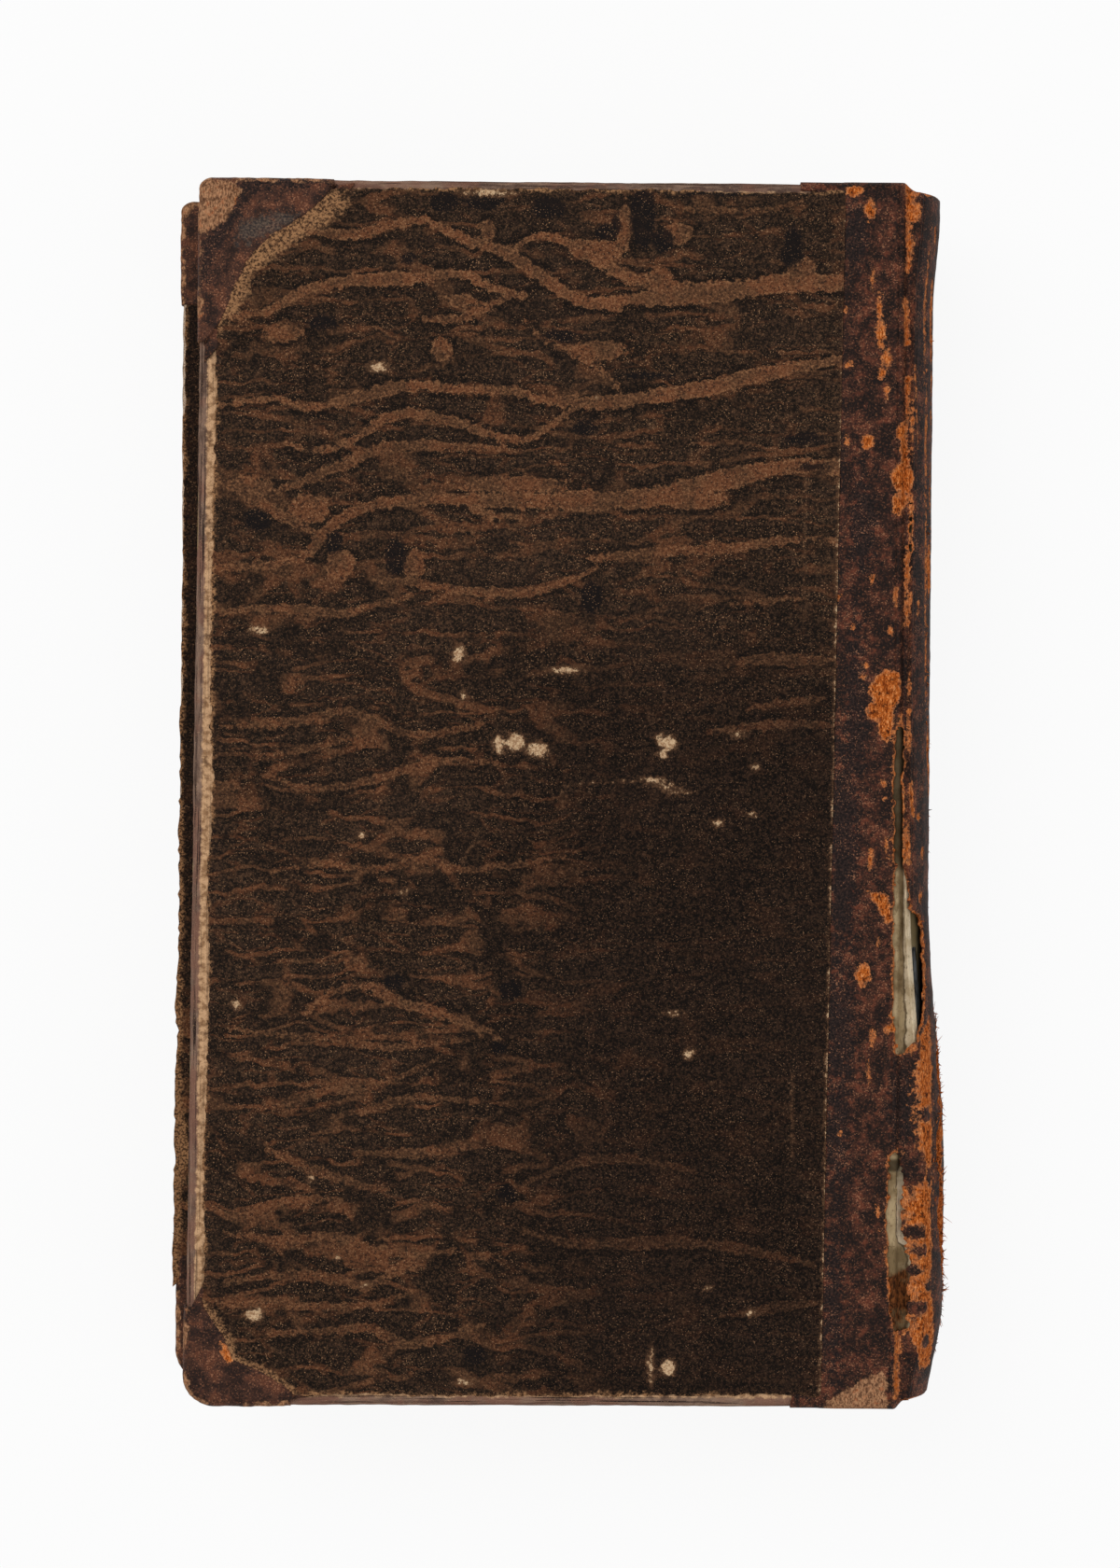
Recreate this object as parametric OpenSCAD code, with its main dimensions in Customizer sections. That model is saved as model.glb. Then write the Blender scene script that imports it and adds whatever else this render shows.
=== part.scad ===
// Small half-leather book lying on its front cover, millimetres.
// X runs from the fore edge to the spine, Y from tail to head, Z up from the table.
// The back is cocked: the upper cover has slid towards the spine over the lower one.

/* [Boards] */
// Height of the boards, head to tail
board_h = 190; // [150:1:240]
// Width of the boards, joint to fore edge
board_w = 109.5; // [85:0.5:140]
// Thickness of the boards
board_t = 2.6; // [2:0.1:3.4]
// How far the fore edge drifts out towards the tail
fore_drift = 1; // [0:0.1:2]
// How far the tail edge drops towards the fore edge
tail_drift = 0.6; // [0:0.1:1.5]
// Radius of the head corner at the fore edge
head_corner_r = 1.6; // [1.2:0.1:4]
// Radius of the worn tail corner at the fore edge
tail_corner_r = 4.6; // [2:0.1:7]
// Rounding worn on the outer edges
edge_r = 1; // [0.5:0.1:1.4]

/* [Covering leather] */
// Thickness of the leather on the outer face
leather_t = 0.7; // [0.5:0.05:1]
// Thickness of the leather round the edges
leather_edge_t = 0.5; // [0.3:0.05:0.7]
// Thickness of the leather pared down under the paper
pared_t = 0.3; // [0.2:0.05:0.35]
// Leather showing on the board at the head, joint to paper
strip_head_w = 9.3; // [6:0.1:20]
// Leather showing on the board at the tail, joint to paper
strip_tail_w = 11.6; // [6:0.1:20]
// Leather corners of the upper board at the head: length along the head and the fore edge
back_head_corner = [21, 24]; // [10:0.5:40]
// Leather corners of the upper board at the tail: length along the tail and the fore edge
back_tail_corner = [16.5, 17.5]; // [10:0.5:40]
// Leather corners of the lower board at the head
front_head_corner_legs = [18, 17]; // [10:0.5:40]
// Leather corners of the lower board at the tail
front_tail_corner_legs = [18, 20]; // [10:0.5:40]
// Width of what is turned in over the inner face
turn_in = 12; // [8:0.5:18]
// Thickness of what is turned in
turn_in_t = 0.3; // [0.2:0.05:0.4]

/* [Paper sides] */
// Thickness of the paper
paper_t = 0.25; // [0.15:0.05:0.3]
// How far the paper lies over the leather
overlap = 4.8; // [1.5:0.1:6]
// Bare board left by wear along the fore edge
worn_fore = 2.8; // [1.5:0.1:5]
// Bare board left by wear along the head
worn_head = 1.3; // [1.1:0.1:4]
// Bare board left by wear along the tail
worn_tail = 1.7; // [1.1:0.1:4]
// Thickness of the pastedowns
pastedown_t = 0.15; // [0.1:0.05:0.3]

/* [Pages] */
// Thickness of all the pages
pages_t = 21.5; // [12:0.5:40]
// How far the boards stand past the pages at head and tail
overhang = 3; // [2.2:0.1:5]
// How far the boards stand past the pages at the fore edge
fore_overhang = 3.4; // [2:0.1:6]
// Hollow of the fore edge
fore_hollow = 3; // [0:0.1:6]
// Gap between each cover's inside and the pages
cover_gap = 0.3; // [0.2:0.05:0.5]
// How far the upper cover has slid over the lower one
lean = 5.2; // [0:0.1:8]

/* [Spine] */
// How far the spine bulges past its edges
bulge = 5.1; // [4:0.1:9]
// Thickness of the leather on the spine
spine_leather_t = 0.8; // [0.5:0.05:1]
// How far the spine's edges lie below the covers' faces
spine_drop = 0.4; // [0.3:0.05:0.8]
// Width of the groove between a board and the spine
groove_w = 1.6; // [1.4:0.1:2.5]
// Running gap at a joint
joint_gap = 0.3; // [0.25:0.05:0.5]
// Thickness of the folded paper tube under the leather
tube_t = 0.6; // [0.4:0.05:1]
// Thickness of the paper lining on the backs of the pages
lining_t = 0.25; // [0.15:0.05:0.4]
// How far the spine leather stops short of the boards at head and tail
cap_drop = 1; // [0.6:0.1:1.5]
// Slack between the leather and the tube under it
slack = 0.22; // [0.2:0.01:0.3]
// How far the loose spine leather near the tail stands off
lift = 2.8; // [0:0.1:4]
// How far the cap at the head stands off
head_flare = 1; // [0:0.1:2]

/* [Cords and endbands] */
// Number of sewing cords
cords = 4; // [2:1:6]
// Radius of a sewing cord
cord_r = 0.6; // [0.4:0.05:0.8]
// Distance of the first and the last cord from the boards' tail and head
cord_inset = 33; // [22:0.5:45]
// Length of a cord's frayed end on a board
slip_l = 13; // [8:0.5:20]
// Width of a cord's frayed end where it fans out
slip_w = 8; // [4:0.5:12]
// Thickness of a cord's frayed end
slip_t = 0.35; // [0.2:0.05:0.5]
// Radius of the endbands' bead
endband_r = 0.6; // [0.4:0.05:0.7]
// Depth of the endbands' cloth down the backs of the pages
endband_tab = 8; // [5:0.5:14]

/* [Torn back joint] */
// Top of the narrow crack, from the middle of the spine
crack_from = 11.6; // [5:0.1:30]
// End of the narrow crack, where the wide loss begins
crack_to = -20.6; // [-25:0.1:0]
// Reach of the narrow crack across the spine
crack_reach = 2.3; // [1.9:0.1:4]
// End of the wide loss
loss_to = -42.6; // [-50:0.1:-30]
// Reach of the wide loss
loss_reach = 4.4; // [3:0.1:7]
// Top of the second loss
second_from = -56.7; // [-60:0.1:-52]
// End of the second loss
second_to = -85.6; // [-90:0.1:-70]
// Reach of the second loss
second_reach = 3.1; // [1.9:0.1:5]

/* [Hidden] */

arc_steps = 6;
spine_steps = 24;
leather_steps = 16;
tube_sides = 8;
eps = 0.01;

// Heights inside a cover, counted from its outer face towards the pages
board_z = leather_t;
inner_z = board_z + board_t;
pastedown_z = inner_z + turn_in_t;
cover_t = pastedown_z + pastedown_t;
pages_z = cover_t + cover_gap;
book_t = 2 * pages_z + pages_t;
mid_z = book_t / 2;
pages_h = board_h - 2 * overhang;

// The spine's curve is a circle through both grooves, and each layer lies inside the last
groove_half = mid_z - spine_drop;
spine_r = (groove_half * groove_half + bulge * bulge) / (2 * bulge);
spine_x = groove_w + bulge - spine_r;
tube_r = spine_r - spine_leather_t;
lining_r = tube_r - slack - tube_t;
pages_r = lining_r - lining_t;
hinge_x = 0.5;
spine_edge_x = hinge_x + joint_gap;
shoulder_z = board_z + 0.5 * board_t;
cap_y = board_h / 2 - cap_drop;

// How far a point at height z is carried sideways by the lean
function clamp(v, lo, hi) = max(lo, min(hi, v));
function smooth(t) = let (c = clamp(t, 0, 1)) c * c * (3 - 2 * c);
function shift(z) = lean / 2 * sin(90 * clamp((z - mid_z) / (mid_z - cover_t), -1, 1));
function leaned(p) = [p[0] + shift(p[1]), p[1]];
function on_spine(r, a) = [spine_x + r * cos(a), mid_z + r * sin(a)];
function spine_angle(r, z) = asin((mid_z - z) / r);
function arc(r, from, to, steps) = [for (i = [0:steps]) on_spine(r, from + (to - from) * i / steps)];
function reversed(list) = [for (i = [len(list) - 1:-1:0]) list[i]];
function mirrored_z(p) = [p[0], book_t - p[1]];
function at_height(p, q, z) = p + (q - p) * (z - p[1]) / (q[1] - p[1]);

// A layer's curve with the lean, from one shoulder to the other. All radii bend at the same angles,
// so that one layer's back and the next layer's inside are the same faces.
function layer_line(r, short) =
  let (
    a = 1.04 * spine_angle(pages_r, shoulder_z),
    line = [for (p = arc(r, -a, a, spine_steps)) leaned(p)],
    n = len(line) - 1,
    low = short,
    high = book_t - short)
  concat(
    [for (i = [0:n - 1]) if (line[i][1] <= low && line[i + 1][1] > low) at_height(line[i], line[i + 1], low)],
    [for (p = line) if (p[1] > low && p[1] < high) p],
    [for (i = [0:n - 1]) if (line[i][1] < high && line[i + 1][1] >= high) at_height(line[i], line[i + 1], high)]);

// A corner of an outline, rounded by an arc that meets both edges
function unit(v) = v / norm(v);
function rounded_corner(before, at, after, r) =
  let (
    a = unit(before - at),
    b = unit(after - at),
    half = acos(a * b) / 2,
    middle = at + unit(a + b) * r / sin(half),
    start = at + a * r / tan(half) - middle,
    turn = cross(start, at + b * r / tan(half) - middle) > 0 ? 1 : -1)
  [for (i = [0:arc_steps])
    let (t = turn * (180 - 2 * half) * i / arc_steps)
    middle + [start[0] * cos(t) - start[1] * sin(t), start[0] * sin(t) + start[1] * cos(t)]];
function rounded(points, radii) =
  let (n = len(points))
  [for (i = [0:n - 1]) each
    rounded_corner(points[(i + n - 1) % n], points[i], points[(i + 1) % n], radii[i])];

// Outline of a board, drawn in by a distance on its three free edges and at the spine
function board_outline(in, spine_in) = rounded(
  [
    [-spine_in, -board_h / 2 + in],
    [-spine_in, board_h / 2 - in],
    [-board_w + in, board_h / 2 - in],
    [-board_w - fore_drift + in, -board_h / 2 - tail_drift + in]],
  [0.6, 0.6, max(0.4, head_corner_r - in), max(0.4, tail_corner_r - in)]);
function fore_x(y) = -board_w - fore_drift * (0.5 - y / board_h);
function strip_w(y) = strip_tail_w + (strip_head_w - strip_tail_w) * (0.5 + y / board_h);

// A closed solid through a row of rings with equal numbers of points
module loft(rings) {
  n = len(rings[0]);
  last = len(rings) - 1;
  polyhedron(
    points = [for (ring = rings) each ring],
    faces = concat(
      [[for (j = [0:n - 1]) j]],
      [[for (j = [n - 1:-1:0]) last * n + j]],
      [for (i = [0:last - 1]) for (j = [0:n - 1])
        let (k = (j + 1) % n)
        each [
          [i * n + j, (i + 1) * n + j, (i + 1) * n + k],
          [i * n + j, (i + 1) * n + k, i * n + k]]]),
    convexity = 6);
}

// A section in X and Z, drawn out along Y
module along_y(from, to) {
  translate([0, to, 0]) rotate([90, 0, 0]) linear_extrude(to - from) children();
}

// A flat piece between two heights
module sheet(from, to) {
  translate([0, 0, from]) linear_extrude(to - from) children();
}

// The board's body, or the same body grown by the leather wrapped round it
module board_body(out_t, edge_t, in_t) {
  outer_r = edge_r + edge_t;
  inner_r = 0.4 + edge_t;
  sloped = 1 - sqrt(0.5);
  levels = [
    [board_z - out_t, outer_r - edge_t],
    [board_z - out_t + sloped * outer_r, sloped * outer_r - edge_t],
    [board_z - out_t + outer_r, -edge_t],
    [inner_z + in_t - inner_r, -edge_t],
    [inner_z + in_t, inner_r - edge_t]];
  loft([for (l = levels) [for (p = board_outline(l[1], max(0, l[1]))) [p[0], p[1], l[0]]]]);
}

// Plan of the leather strip beside the joint, reaching under the paper by a distance
module strip_plan(under) {
  y = board_h / 2 + 5;
  polygon([[0, -y], [0, y], [-strip_w(y) - under, y], [-strip_w(-y) - under, -y]]);
}

// Plan of a leather corner, cut straight across and reaching under the paper by a distance
module corner_plan(legs, end, under) {
  beyond = 5;
  corner = [fore_x(end * board_h / 2), end * board_h / 2];
  slope = unit([legs[1], -end * legs[0]]);
  start = corner + [legs[0], 0] + slope * under;
  run = unit([-legs[0], -end * legs[1]]) * (norm(legs) + beyond);
  polygon([
    start - run * beyond / norm(run),
    start + run,
    start + run - [2 * beyond, 0],
    corner + [-3 * beyond, end * 3 * beyond],
    start - run * beyond / norm(run) + [0, end * 3 * beyond]]);
}

function corner_legs(side, end) =
  side == "back"
    ? (end > 0 ? back_head_corner : back_tail_corner)
    : (end > 0 ? front_head_corner_legs : front_tail_corner_legs);

// Plan of all the leather on one cover, reaching under the paper by a distance
module leather_plan(side, under) {
  strip_plan(under);
  for (end = [-1, 1]) corner_plan(corner_legs(side, end), end, under);
}

// The flat middle of the inner face, inside everything that is turned in
module inner_window() {
  y = board_h / 2 - turn_in;
  polygon([[1, -y], [1, y], [-board_w + turn_in, y], [-board_w + turn_in, -y]]);
}

// Leather laid over the outer face, round the edges and in over the inner face.
// The first child is its whole plan, and the second the plan of what the paper leaves bare.
module wrapped() {
  difference() {
    intersection() {
      difference() {
        board_body(leather_t, leather_edge_t, turn_in_t);
        board_body(0, 0, 0);
      }
      sheet(-1, cover_t) children(0);
    }
    sheet(inner_z - eps, cover_t) inner_window();
    sheet(-1, leather_t - pared_t) difference() {
      children(0);
      children(1);
    }
  }
}

// Each cover is drawn on its outer face and then laid in its place
module place_cover(side) {
  if (side == "front") translate([-lean / 2, 0, 0]) children();
  if (side == "back") translate([lean / 2, 0, book_t]) mirror([0, 0, 1]) children();
}

// Place of a cord along the spine
function cord_y(i) = (board_h - 2 * cord_inset) * ((i - 1) / (cords - 1) - 0.5);

// Plan of a cord's frayed end, narrow at the joint and fanned out on the board
module slip_plan(i) {
  narrow = 2 * cord_r;
  translate([0, cord_y(i)])
    polygon([
      [0, -narrow], [0, narrow], [-slip_l * 0.8, slip_w / 2], [-slip_l, slip_w * 0.3],
      [-slip_l, -slip_w * 0.3], [-slip_l * 0.8, -slip_w / 2]]);
}

module cover_board(side) {
  color("tan") place_cover(side) difference() {
    board_body(0, 0, 0);
    for (i = [1:cords]) sheet(board_z - 1, board_z + slip_t) slip_plan(i);
  }
}

module cover_siding_paper(side) {
  color("#3b2a20") place_cover(side) {
    difference() {
      union() {
        sheet(board_z - paper_t, board_z) face_plan(side, 0);
        sheet(board_z - pared_t - paper_t, board_z) intersection() {
          face_plan(side, 0);
          leather_plan(side, overlap + paper_t);
        }
      }
      sheet(board_z - pared_t, board_z + 1) leather_plan(side, overlap);
    }
    sheet(inner_z, pastedown_z) difference() {
      polygon(board_outline(edge_r, edge_r));
      inner_window();
      leather_plan(side, overlap);
    }
  }
}

// Plan of the paper that is left on the outer face
module face_plan(side, under) {
  difference() {
    polygon(rounded(
      [
        [0, -board_h / 2 + worn_tail],
        [0, board_h / 2 - worn_head],
        [-board_w + worn_fore, board_h / 2 - worn_head],
        [-board_w - fore_drift + worn_fore, -board_h / 2 - tail_drift + worn_tail]],
      [0.2, 0.2, 0.4, 2]));
    leather_plan(side, under);
  }
}

module cover_leather(side) {
  color("#4a2a20") place_cover(side) {
    difference() {
      wrapped() {
        strip_plan(overlap);
        strip_plan(0);
      }
      for (i = [1:cords]) sheet(board_z, board_z + slip_t) slip_plan(i);
    }
    sheet(0, leather_t) polygon([
      [-eps, -board_h / 2 + edge_r],
      [hinge_x, -board_h / 2 + edge_r],
      [hinge_x, board_h / 2 - edge_r],
      [-eps, board_h / 2 - edge_r]]);
  }
}

module cover_corner(side, end) {
  color("#5a3226") place_cover(side) wrapped() {
    corner_plan(corner_legs(side, end), end, overlap);
    corner_plan(corner_legs(side, end), end, 0);
  }
}

module cover_pastedown(side) {
  border = overhang;
  color("#cbb892") place_cover(side) {
    sheet(pastedown_z, cover_t) polygon(board_outline(border, 0.4));
    sheet(inner_z, pastedown_z) intersection() {
      inner_window();
      polygon(board_outline(border, 0.4));
    }
  }
}

module cover_slip(side, i) {
  color("wheat") place_cover(side) sheet(board_z, board_z + slip_t) slip_plan(i);
}

// A layer on the spine between two radii, stopping short of the shoulders by a distance
module spine_layer(inner, outer, short) {
  polygon(concat(layer_line(outer, short), reversed(layer_line(inner, short))));
}

module text_block() {
  steps = 16;
  fore = [for (i = [0:steps])
    let (t = 2 * i / steps - 1)
    [-board_w + fore_overhang + fore_hollow * (1 - t * t), mid_z - t * pages_t / 2]];
  shoulder_x = joint_gap + 0.1;
  kerf = 2 * cord_r + 0.15;
  kerf_a = 1.25 * spine_angle(pages_r, shoulder_z);
  color("#d8c9a6") difference() {
    along_y(-pages_h / 2, pages_h / 2) polygon(concat(
      [leaned([shoulder_x, pages_z])],
      layer_line(pages_r, shoulder_z),
      [for (p = concat([[shoulder_x, book_t - pages_z]], fore)) leaned(p)]));
    for (i = [1:cords]) along_y(cord_y(i) - kerf / 2, cord_y(i) + kerf / 2)
      polygon([for (p = concat(
        arc(pages_r + 1, -kerf_a, kerf_a, spine_steps),
        arc(pages_r - kerf, kerf_a, -kerf_a, spine_steps))) leaned(p)]);
  }
}

module spine_lining() {
  y = pages_h / 2 - endband_tab - 0.3;
  color("#b9ac8c") along_y(-y, y) spine_layer(pages_r, lining_r, shoulder_z + 0.3);
}

// Paper folded into a flat tube, so that the back can open away from the pages
module spine_tube() {
  y = pages_h / 2 - 1;
  wall = tube_t / 3;
  color("#a39a80") along_y(-y, y) difference() {
    spine_layer(lining_r, lining_r + tube_t, shoulder_z + 0.4);
    spine_layer(lining_r + wall, lining_r + tube_t - wall, shoulder_z + 0.4 + wall);
  }
}

// How far the leather stands off at a place along the spine
function lifted(y, z) =
  smooth((z - mid_z + 6) / 12)
    * (lift * smooth((-14 - y) / 45) * smooth((y + 93) / 9) + head_flare * smooth((y - 76) / 16));

// Section of the leather at a station: its place along the spine, how far the leather is lost
// beside the back joint, and how deep it is turned in
function leather_section(station) =
  let (
    lost = station[1],
    inner_r = tube_r - station[2],
    low = spine_drop + spine_leather_t,
    outer_a = spine_angle(spine_r, spine_drop),
    inner_a = spine_angle(inner_r, station[2] > 0 ? pages_z + 0.3 : low + 0.3),
    outer = arc(spine_r, -outer_a, lost > 0 ? acos((lost - spine_x) / spine_r) : outer_a, leather_steps),
    inner = arc(inner_r, -inner_a, lost > 0 ? acos((lost - spine_x) / inner_r) : inner_a, leather_steps),
    edge = [[spine_edge_x, low], [spine_edge_x, spine_drop + 0.1]],
    top = outer[leather_steps],
    under = inner[leather_steps],
    back_edge = lost > 0
      ? [top + (under - top) / 3, under + (top - under) / 3]
      : [mirrored_z(edge[1]), mirrored_z(edge[0])])
  [for (p = concat(edge, outer, back_edge, reversed(inner)))
    let (q = leaned(p))
    [q[0] + lifted(station[0], p[1]), station[0], q[1]]];

// How far the leather is lost across the spine at a place along the back joint
function torn_reach(y) =
  y < second_from + 1 ? second_reach :
  crack_reach + (loss_reach - crack_reach) * smooth((crack_to + 1 - y) / 2);

// Stations along a torn stretch with a ragged edge, closed at both ends
function torn(from, to) =
  let (steps = ceil((from - to) / 2.4))
  concat(
    [[from + 0.5, 0, 0]],
    [for (i = [0:steps])
      let (y = from + (to - from) * i / steps, ragged = 0.84 + 0.1 * sin(97 * i) + 0.06 * sin(211 * i + 40))
      [y, max(groove_w + 0.05, torn_reach(y) * ragged), 0]],
    [[to - 0.5, 0, 0]]);

// The sheet of leather round the back, with its turned-in caps and its torn back joint
module spine_leather() {
  depth = 2 * endband_r + lining_t + tube_t + slack + 0.4;
  cap = [[cap_y + 0.5, 0, depth], [cap_y - 0.6, 0, depth], [cap_y - 0.8, 0, 0]];
  stations = concat(
    cap,
    [for (y = [89, 85, 81, 77, 40]) [y, 0, 0]],
    torn(crack_from, loss_to),
    [[-47, 0, 0], [-52, 0, 0]],
    torn(second_from, second_to),
    [[-88, 0, 0], [-90, 0, 0], [-92, 0, 0]],
    [for (s = reversed(cap)) [-s[0], s[1], s[2]]]);
  color("#4a2a20") intersection() {
    loft([for (s = stations) leather_section(s)]);
    along_y(-cap_y, cap_y) square([60, 80], center = true);
  }
}

// A round cord bent along the backs of the pages
module bent_cord(y, r, radius, short) {
  a = spine_angle(radius, short);
  loft([for (i = [0:spine_steps])
    let (b = -a + 2 * a * i / spine_steps)
    [for (j = [0:tube_sides - 1])
      let (
        c = 360 * j / tube_sides,
        p = leaned(on_spine(radius + r * cos(c), b)))
      [p[0], y + r * sin(c), p[1]]]]);
}

module sewing_cord(i) {
  color("wheat") bent_cord(cord_y(i), cord_r, pages_r - cord_r - 0.05, inner_z - 0.2);
}

// Cloth rolled over a cord and glued to the backs of the pages
module endband(end) {
  bead_y = pages_h / 2 + endband_r;
  tab_y = pages_h / 2 - endband_tab;
  color("#b08a5a") {
    bent_cord(end * bead_y, endband_r, lining_r - endband_r, shoulder_z + 0.6);
    along_y(end > 0 ? tab_y : -bead_y, end > 0 ? bead_y : -tab_y)
      spine_layer(pages_r, lining_r, shoulder_z + 0.6);
  }
}

// The origin lies under the middle of the book's outline
low_x = -board_w - fore_drift - leather_edge_t - lean / 2;
high_x = max([for (p = leather_section([-60, 0, 0])) p[0]]);
low_y = -board_h / 2 - tail_drift - leather_edge_t;
high_y = board_h / 2 + leather_edge_t;
module in_place() {
  translate([-(low_x + high_x) / 2, -(low_y + high_y) / 2, 0]) children();
}

in_place() text_block();
in_place() spine_lining();
in_place() spine_tube();
in_place() spine_leather();
in_place() endband(1);  // head_endband
in_place() endband(-1);  // tail_endband
for (i = [1:cords])
  in_place() sewing_cord(i);
for (side = ["back", "front"]) {
  in_place() cover_board(side);
  in_place() cover_siding_paper(side);
  in_place() cover_leather(side);
  in_place() cover_corner(side, 1);
  in_place() cover_corner(side, -1);
  in_place() cover_pastedown(side);
  for (i = [1:cords])
    in_place() cover_slip(side, i);
}
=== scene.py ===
"""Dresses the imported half-leather book: decorated paper sides, worn leather, torn joint, pages and endpapers.

Lengths are in millimetres until a piece is made. A place on a cover is given by x from the board's spine edge
(minus towards the fore edge), y from the middle of the book, and depth below the cover's outer face.
"""
import math

import bmesh
import bpy
import numpy as np
from mathutils import Matrix, Vector


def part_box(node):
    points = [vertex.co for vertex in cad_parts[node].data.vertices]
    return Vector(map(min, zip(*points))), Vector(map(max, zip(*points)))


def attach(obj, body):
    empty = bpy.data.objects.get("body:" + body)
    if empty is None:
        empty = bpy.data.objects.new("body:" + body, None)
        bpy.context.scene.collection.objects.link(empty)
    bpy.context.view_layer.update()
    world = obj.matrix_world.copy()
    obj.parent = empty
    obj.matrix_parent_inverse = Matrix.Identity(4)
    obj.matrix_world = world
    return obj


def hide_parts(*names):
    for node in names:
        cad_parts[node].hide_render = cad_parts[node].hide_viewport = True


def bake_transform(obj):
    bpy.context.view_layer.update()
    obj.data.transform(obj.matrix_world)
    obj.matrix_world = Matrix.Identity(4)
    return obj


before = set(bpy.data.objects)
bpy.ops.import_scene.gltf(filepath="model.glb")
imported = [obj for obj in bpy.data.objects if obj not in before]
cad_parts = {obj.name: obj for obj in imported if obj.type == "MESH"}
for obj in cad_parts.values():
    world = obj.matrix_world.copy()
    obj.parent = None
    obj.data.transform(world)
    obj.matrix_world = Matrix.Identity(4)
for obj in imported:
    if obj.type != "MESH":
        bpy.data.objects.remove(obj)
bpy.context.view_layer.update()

MM = 0.001


# ---------------------------------------------------------------- sizes, as in the part's source
def box_mm(node):
    low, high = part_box(node)
    return np.array(low) / MM, np.array(high) / MM


BOARD_H, BOARD_W, BOARD_T = 190.0, 109.5, 2.6
FORE_DRIFT, TAIL_DRIFT = 1.0, 0.6
HEAD_R, TAIL_R = 1.6, 4.6
LEATHER_T, PARED_T = 0.7, 0.3
PAPER_T, OVERLAP = 0.25, 4.8
SKIN_T = 0.42
WORN_FORE, WORN_HEAD, WORN_TAIL = 2.8, 1.3, 1.7
STRIP_HEAD_W, STRIP_TAIL_W = 9.3, 11.6
TURN_IN = 12.0
FRONT_CORNERS = {"head": (18, 17), "tail": (18, 20)}
HALF_H = BOARD_H / 2
WINDOW_X, WINDOW_Y = -BOARD_W + TURN_IN, HALF_H - TURN_IN  # where the turn-ins end inside a cover
INNER_Z = LEATHER_T + BOARD_T
BOOK_T = 29.6
MID_Z = BOOK_T / 2
COVER_T = 3.75
PAGES_T = 21.5
LEAN, LIFT, HEAD_FLARE, BULGE, GROOVE_W, SPINE_DROP = 5.2, 2.8, 1.0, 5.1, 1.6, 0.4
SPINE_R = ((MID_Z - SPINE_DROP) ** 2 + BULGE ** 2) / (2 * BULGE)
SPINE_X = GROOVE_W + BULGE - SPINE_R
CAP_Y = BOARD_H / 2 - 1

SPINE_EDGE = {side: box_mm(side + "_board")[1][0] for side in ("back", "front")}
MIDDLE_Y = box_mm("back_board")[1][1] - BOARD_H / 2
MIDDLE_X = (SPINE_EDGE["back"] + SPINE_EDGE["front"]) / 2

# The photo is taken from straight above; its middle shows this place, slightly turned
PHOTO_MIDDLE = (SPINE_EDGE["back"] - 52.887, MIDDLE_Y + 1.4)
PHOTO_W, PHOTO_H = 1200, 1680
MM_PER_PX = 0.145
PHOTO_TURN = math.radians(0.5)
CAMERA_H = 600.0


# ---------------------------------------------------------------- places and distances
def smooth(t):
    t = np.clip(t, 0, 1)
    return t * t * (3 - 2 * t)


def ripple(a, b, size, seed):
    """Smooth random values from -1 to 1 over a plane, in lumps of about a size (or of a size each way)."""
    table = np.random.default_rng(seed).uniform(-1, 1, (101, 101))
    size_a, size_b = size if isinstance(size, tuple) else (size, size)
    u = np.asarray(a, float) / size_a + 1010
    v = np.asarray(b, float) / size_b + 1010
    i, j = np.floor(u).astype(int), np.floor(v).astype(int)
    fu, fv = smooth(u - i), smooth(v - j)
    i, j, i1, j1 = i % 101, j % 101, (i + 1) % 101, (j + 1) % 101
    low = table[i, j] * (1 - fu) + table[i1, j] * fu
    high = table[i, j1] * (1 - fu) + table[i1, j1] * fu
    return low * (1 - fv) + high * fv


def level(side, depth):
    """The height that a depth below a cover's outer face has."""
    return BOOK_T - depth if side == "back" else depth


def on_cover(side, x, y, depth):
    x, y, z = np.broadcast_arrays(x + SPINE_EDGE[side], y + MIDDLE_Y, level(side, depth))
    return np.stack([x, y, z], -1) * MM


def from_photo(points, side="back", depth=0.0):
    """Places on a cover that pixels of the photo show, at a depth below the upper cover's face."""
    p = np.asarray(points, float)
    scale = MM_PER_PX * (1 + depth / CAMERA_H)
    right, up = (p[..., 0] - PHOTO_W / 2) * scale, (PHOTO_H / 2 - p[..., 1]) * scale
    c, s = math.cos(PHOTO_TURN), math.sin(PHOTO_TURN)
    x = PHOTO_MIDDLE[0] + right * c - up * s
    y = PHOTO_MIDDLE[1] + right * s + up * c
    return np.stack([x - SPINE_EDGE[side], y - MIDDLE_Y], -1)


def eased(points, rounds=2):
    """A line with its bends rounded off."""
    p = np.asarray(points, float)
    for _ in range(rounds):
        cut = np.empty((2 * len(p) - 2, p.shape[1]))
        cut[0::2] = p[:-1] * 0.75 + p[1:] * 0.25
        cut[1::2] = p[:-1] * 0.25 + p[1:] * 0.75
        p = np.concatenate([p[:1], cut, p[-1:]])
    return p


def line_distance(a, b, line):
    """Distance from a line, and how far along it the nearest place is, from 0 to 1."""
    best = np.full(np.shape(a), 1e9)
    along = np.zeros(np.shape(a))
    lengths = np.hypot(*np.diff(line, axis=0).T)
    total, passed = lengths.sum(), 0.0
    for (a0, b0), (a1, b1), length in zip(line[:-1], line[1:], lengths):
        if length < 1e-9:
            continue
        t = np.clip(((a - a0) * (a1 - a0) + (b - b0) * (b1 - b0)) / length ** 2, 0, 1)
        d = np.hypot(a - a0 - t * (a1 - a0), b - b0 - t * (b1 - b0))
        closer = d < best
        best = np.where(closer, d, best)
        along = np.where(closer, (passed + t * length) / total, along)
        passed += length
    return best, along


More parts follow.
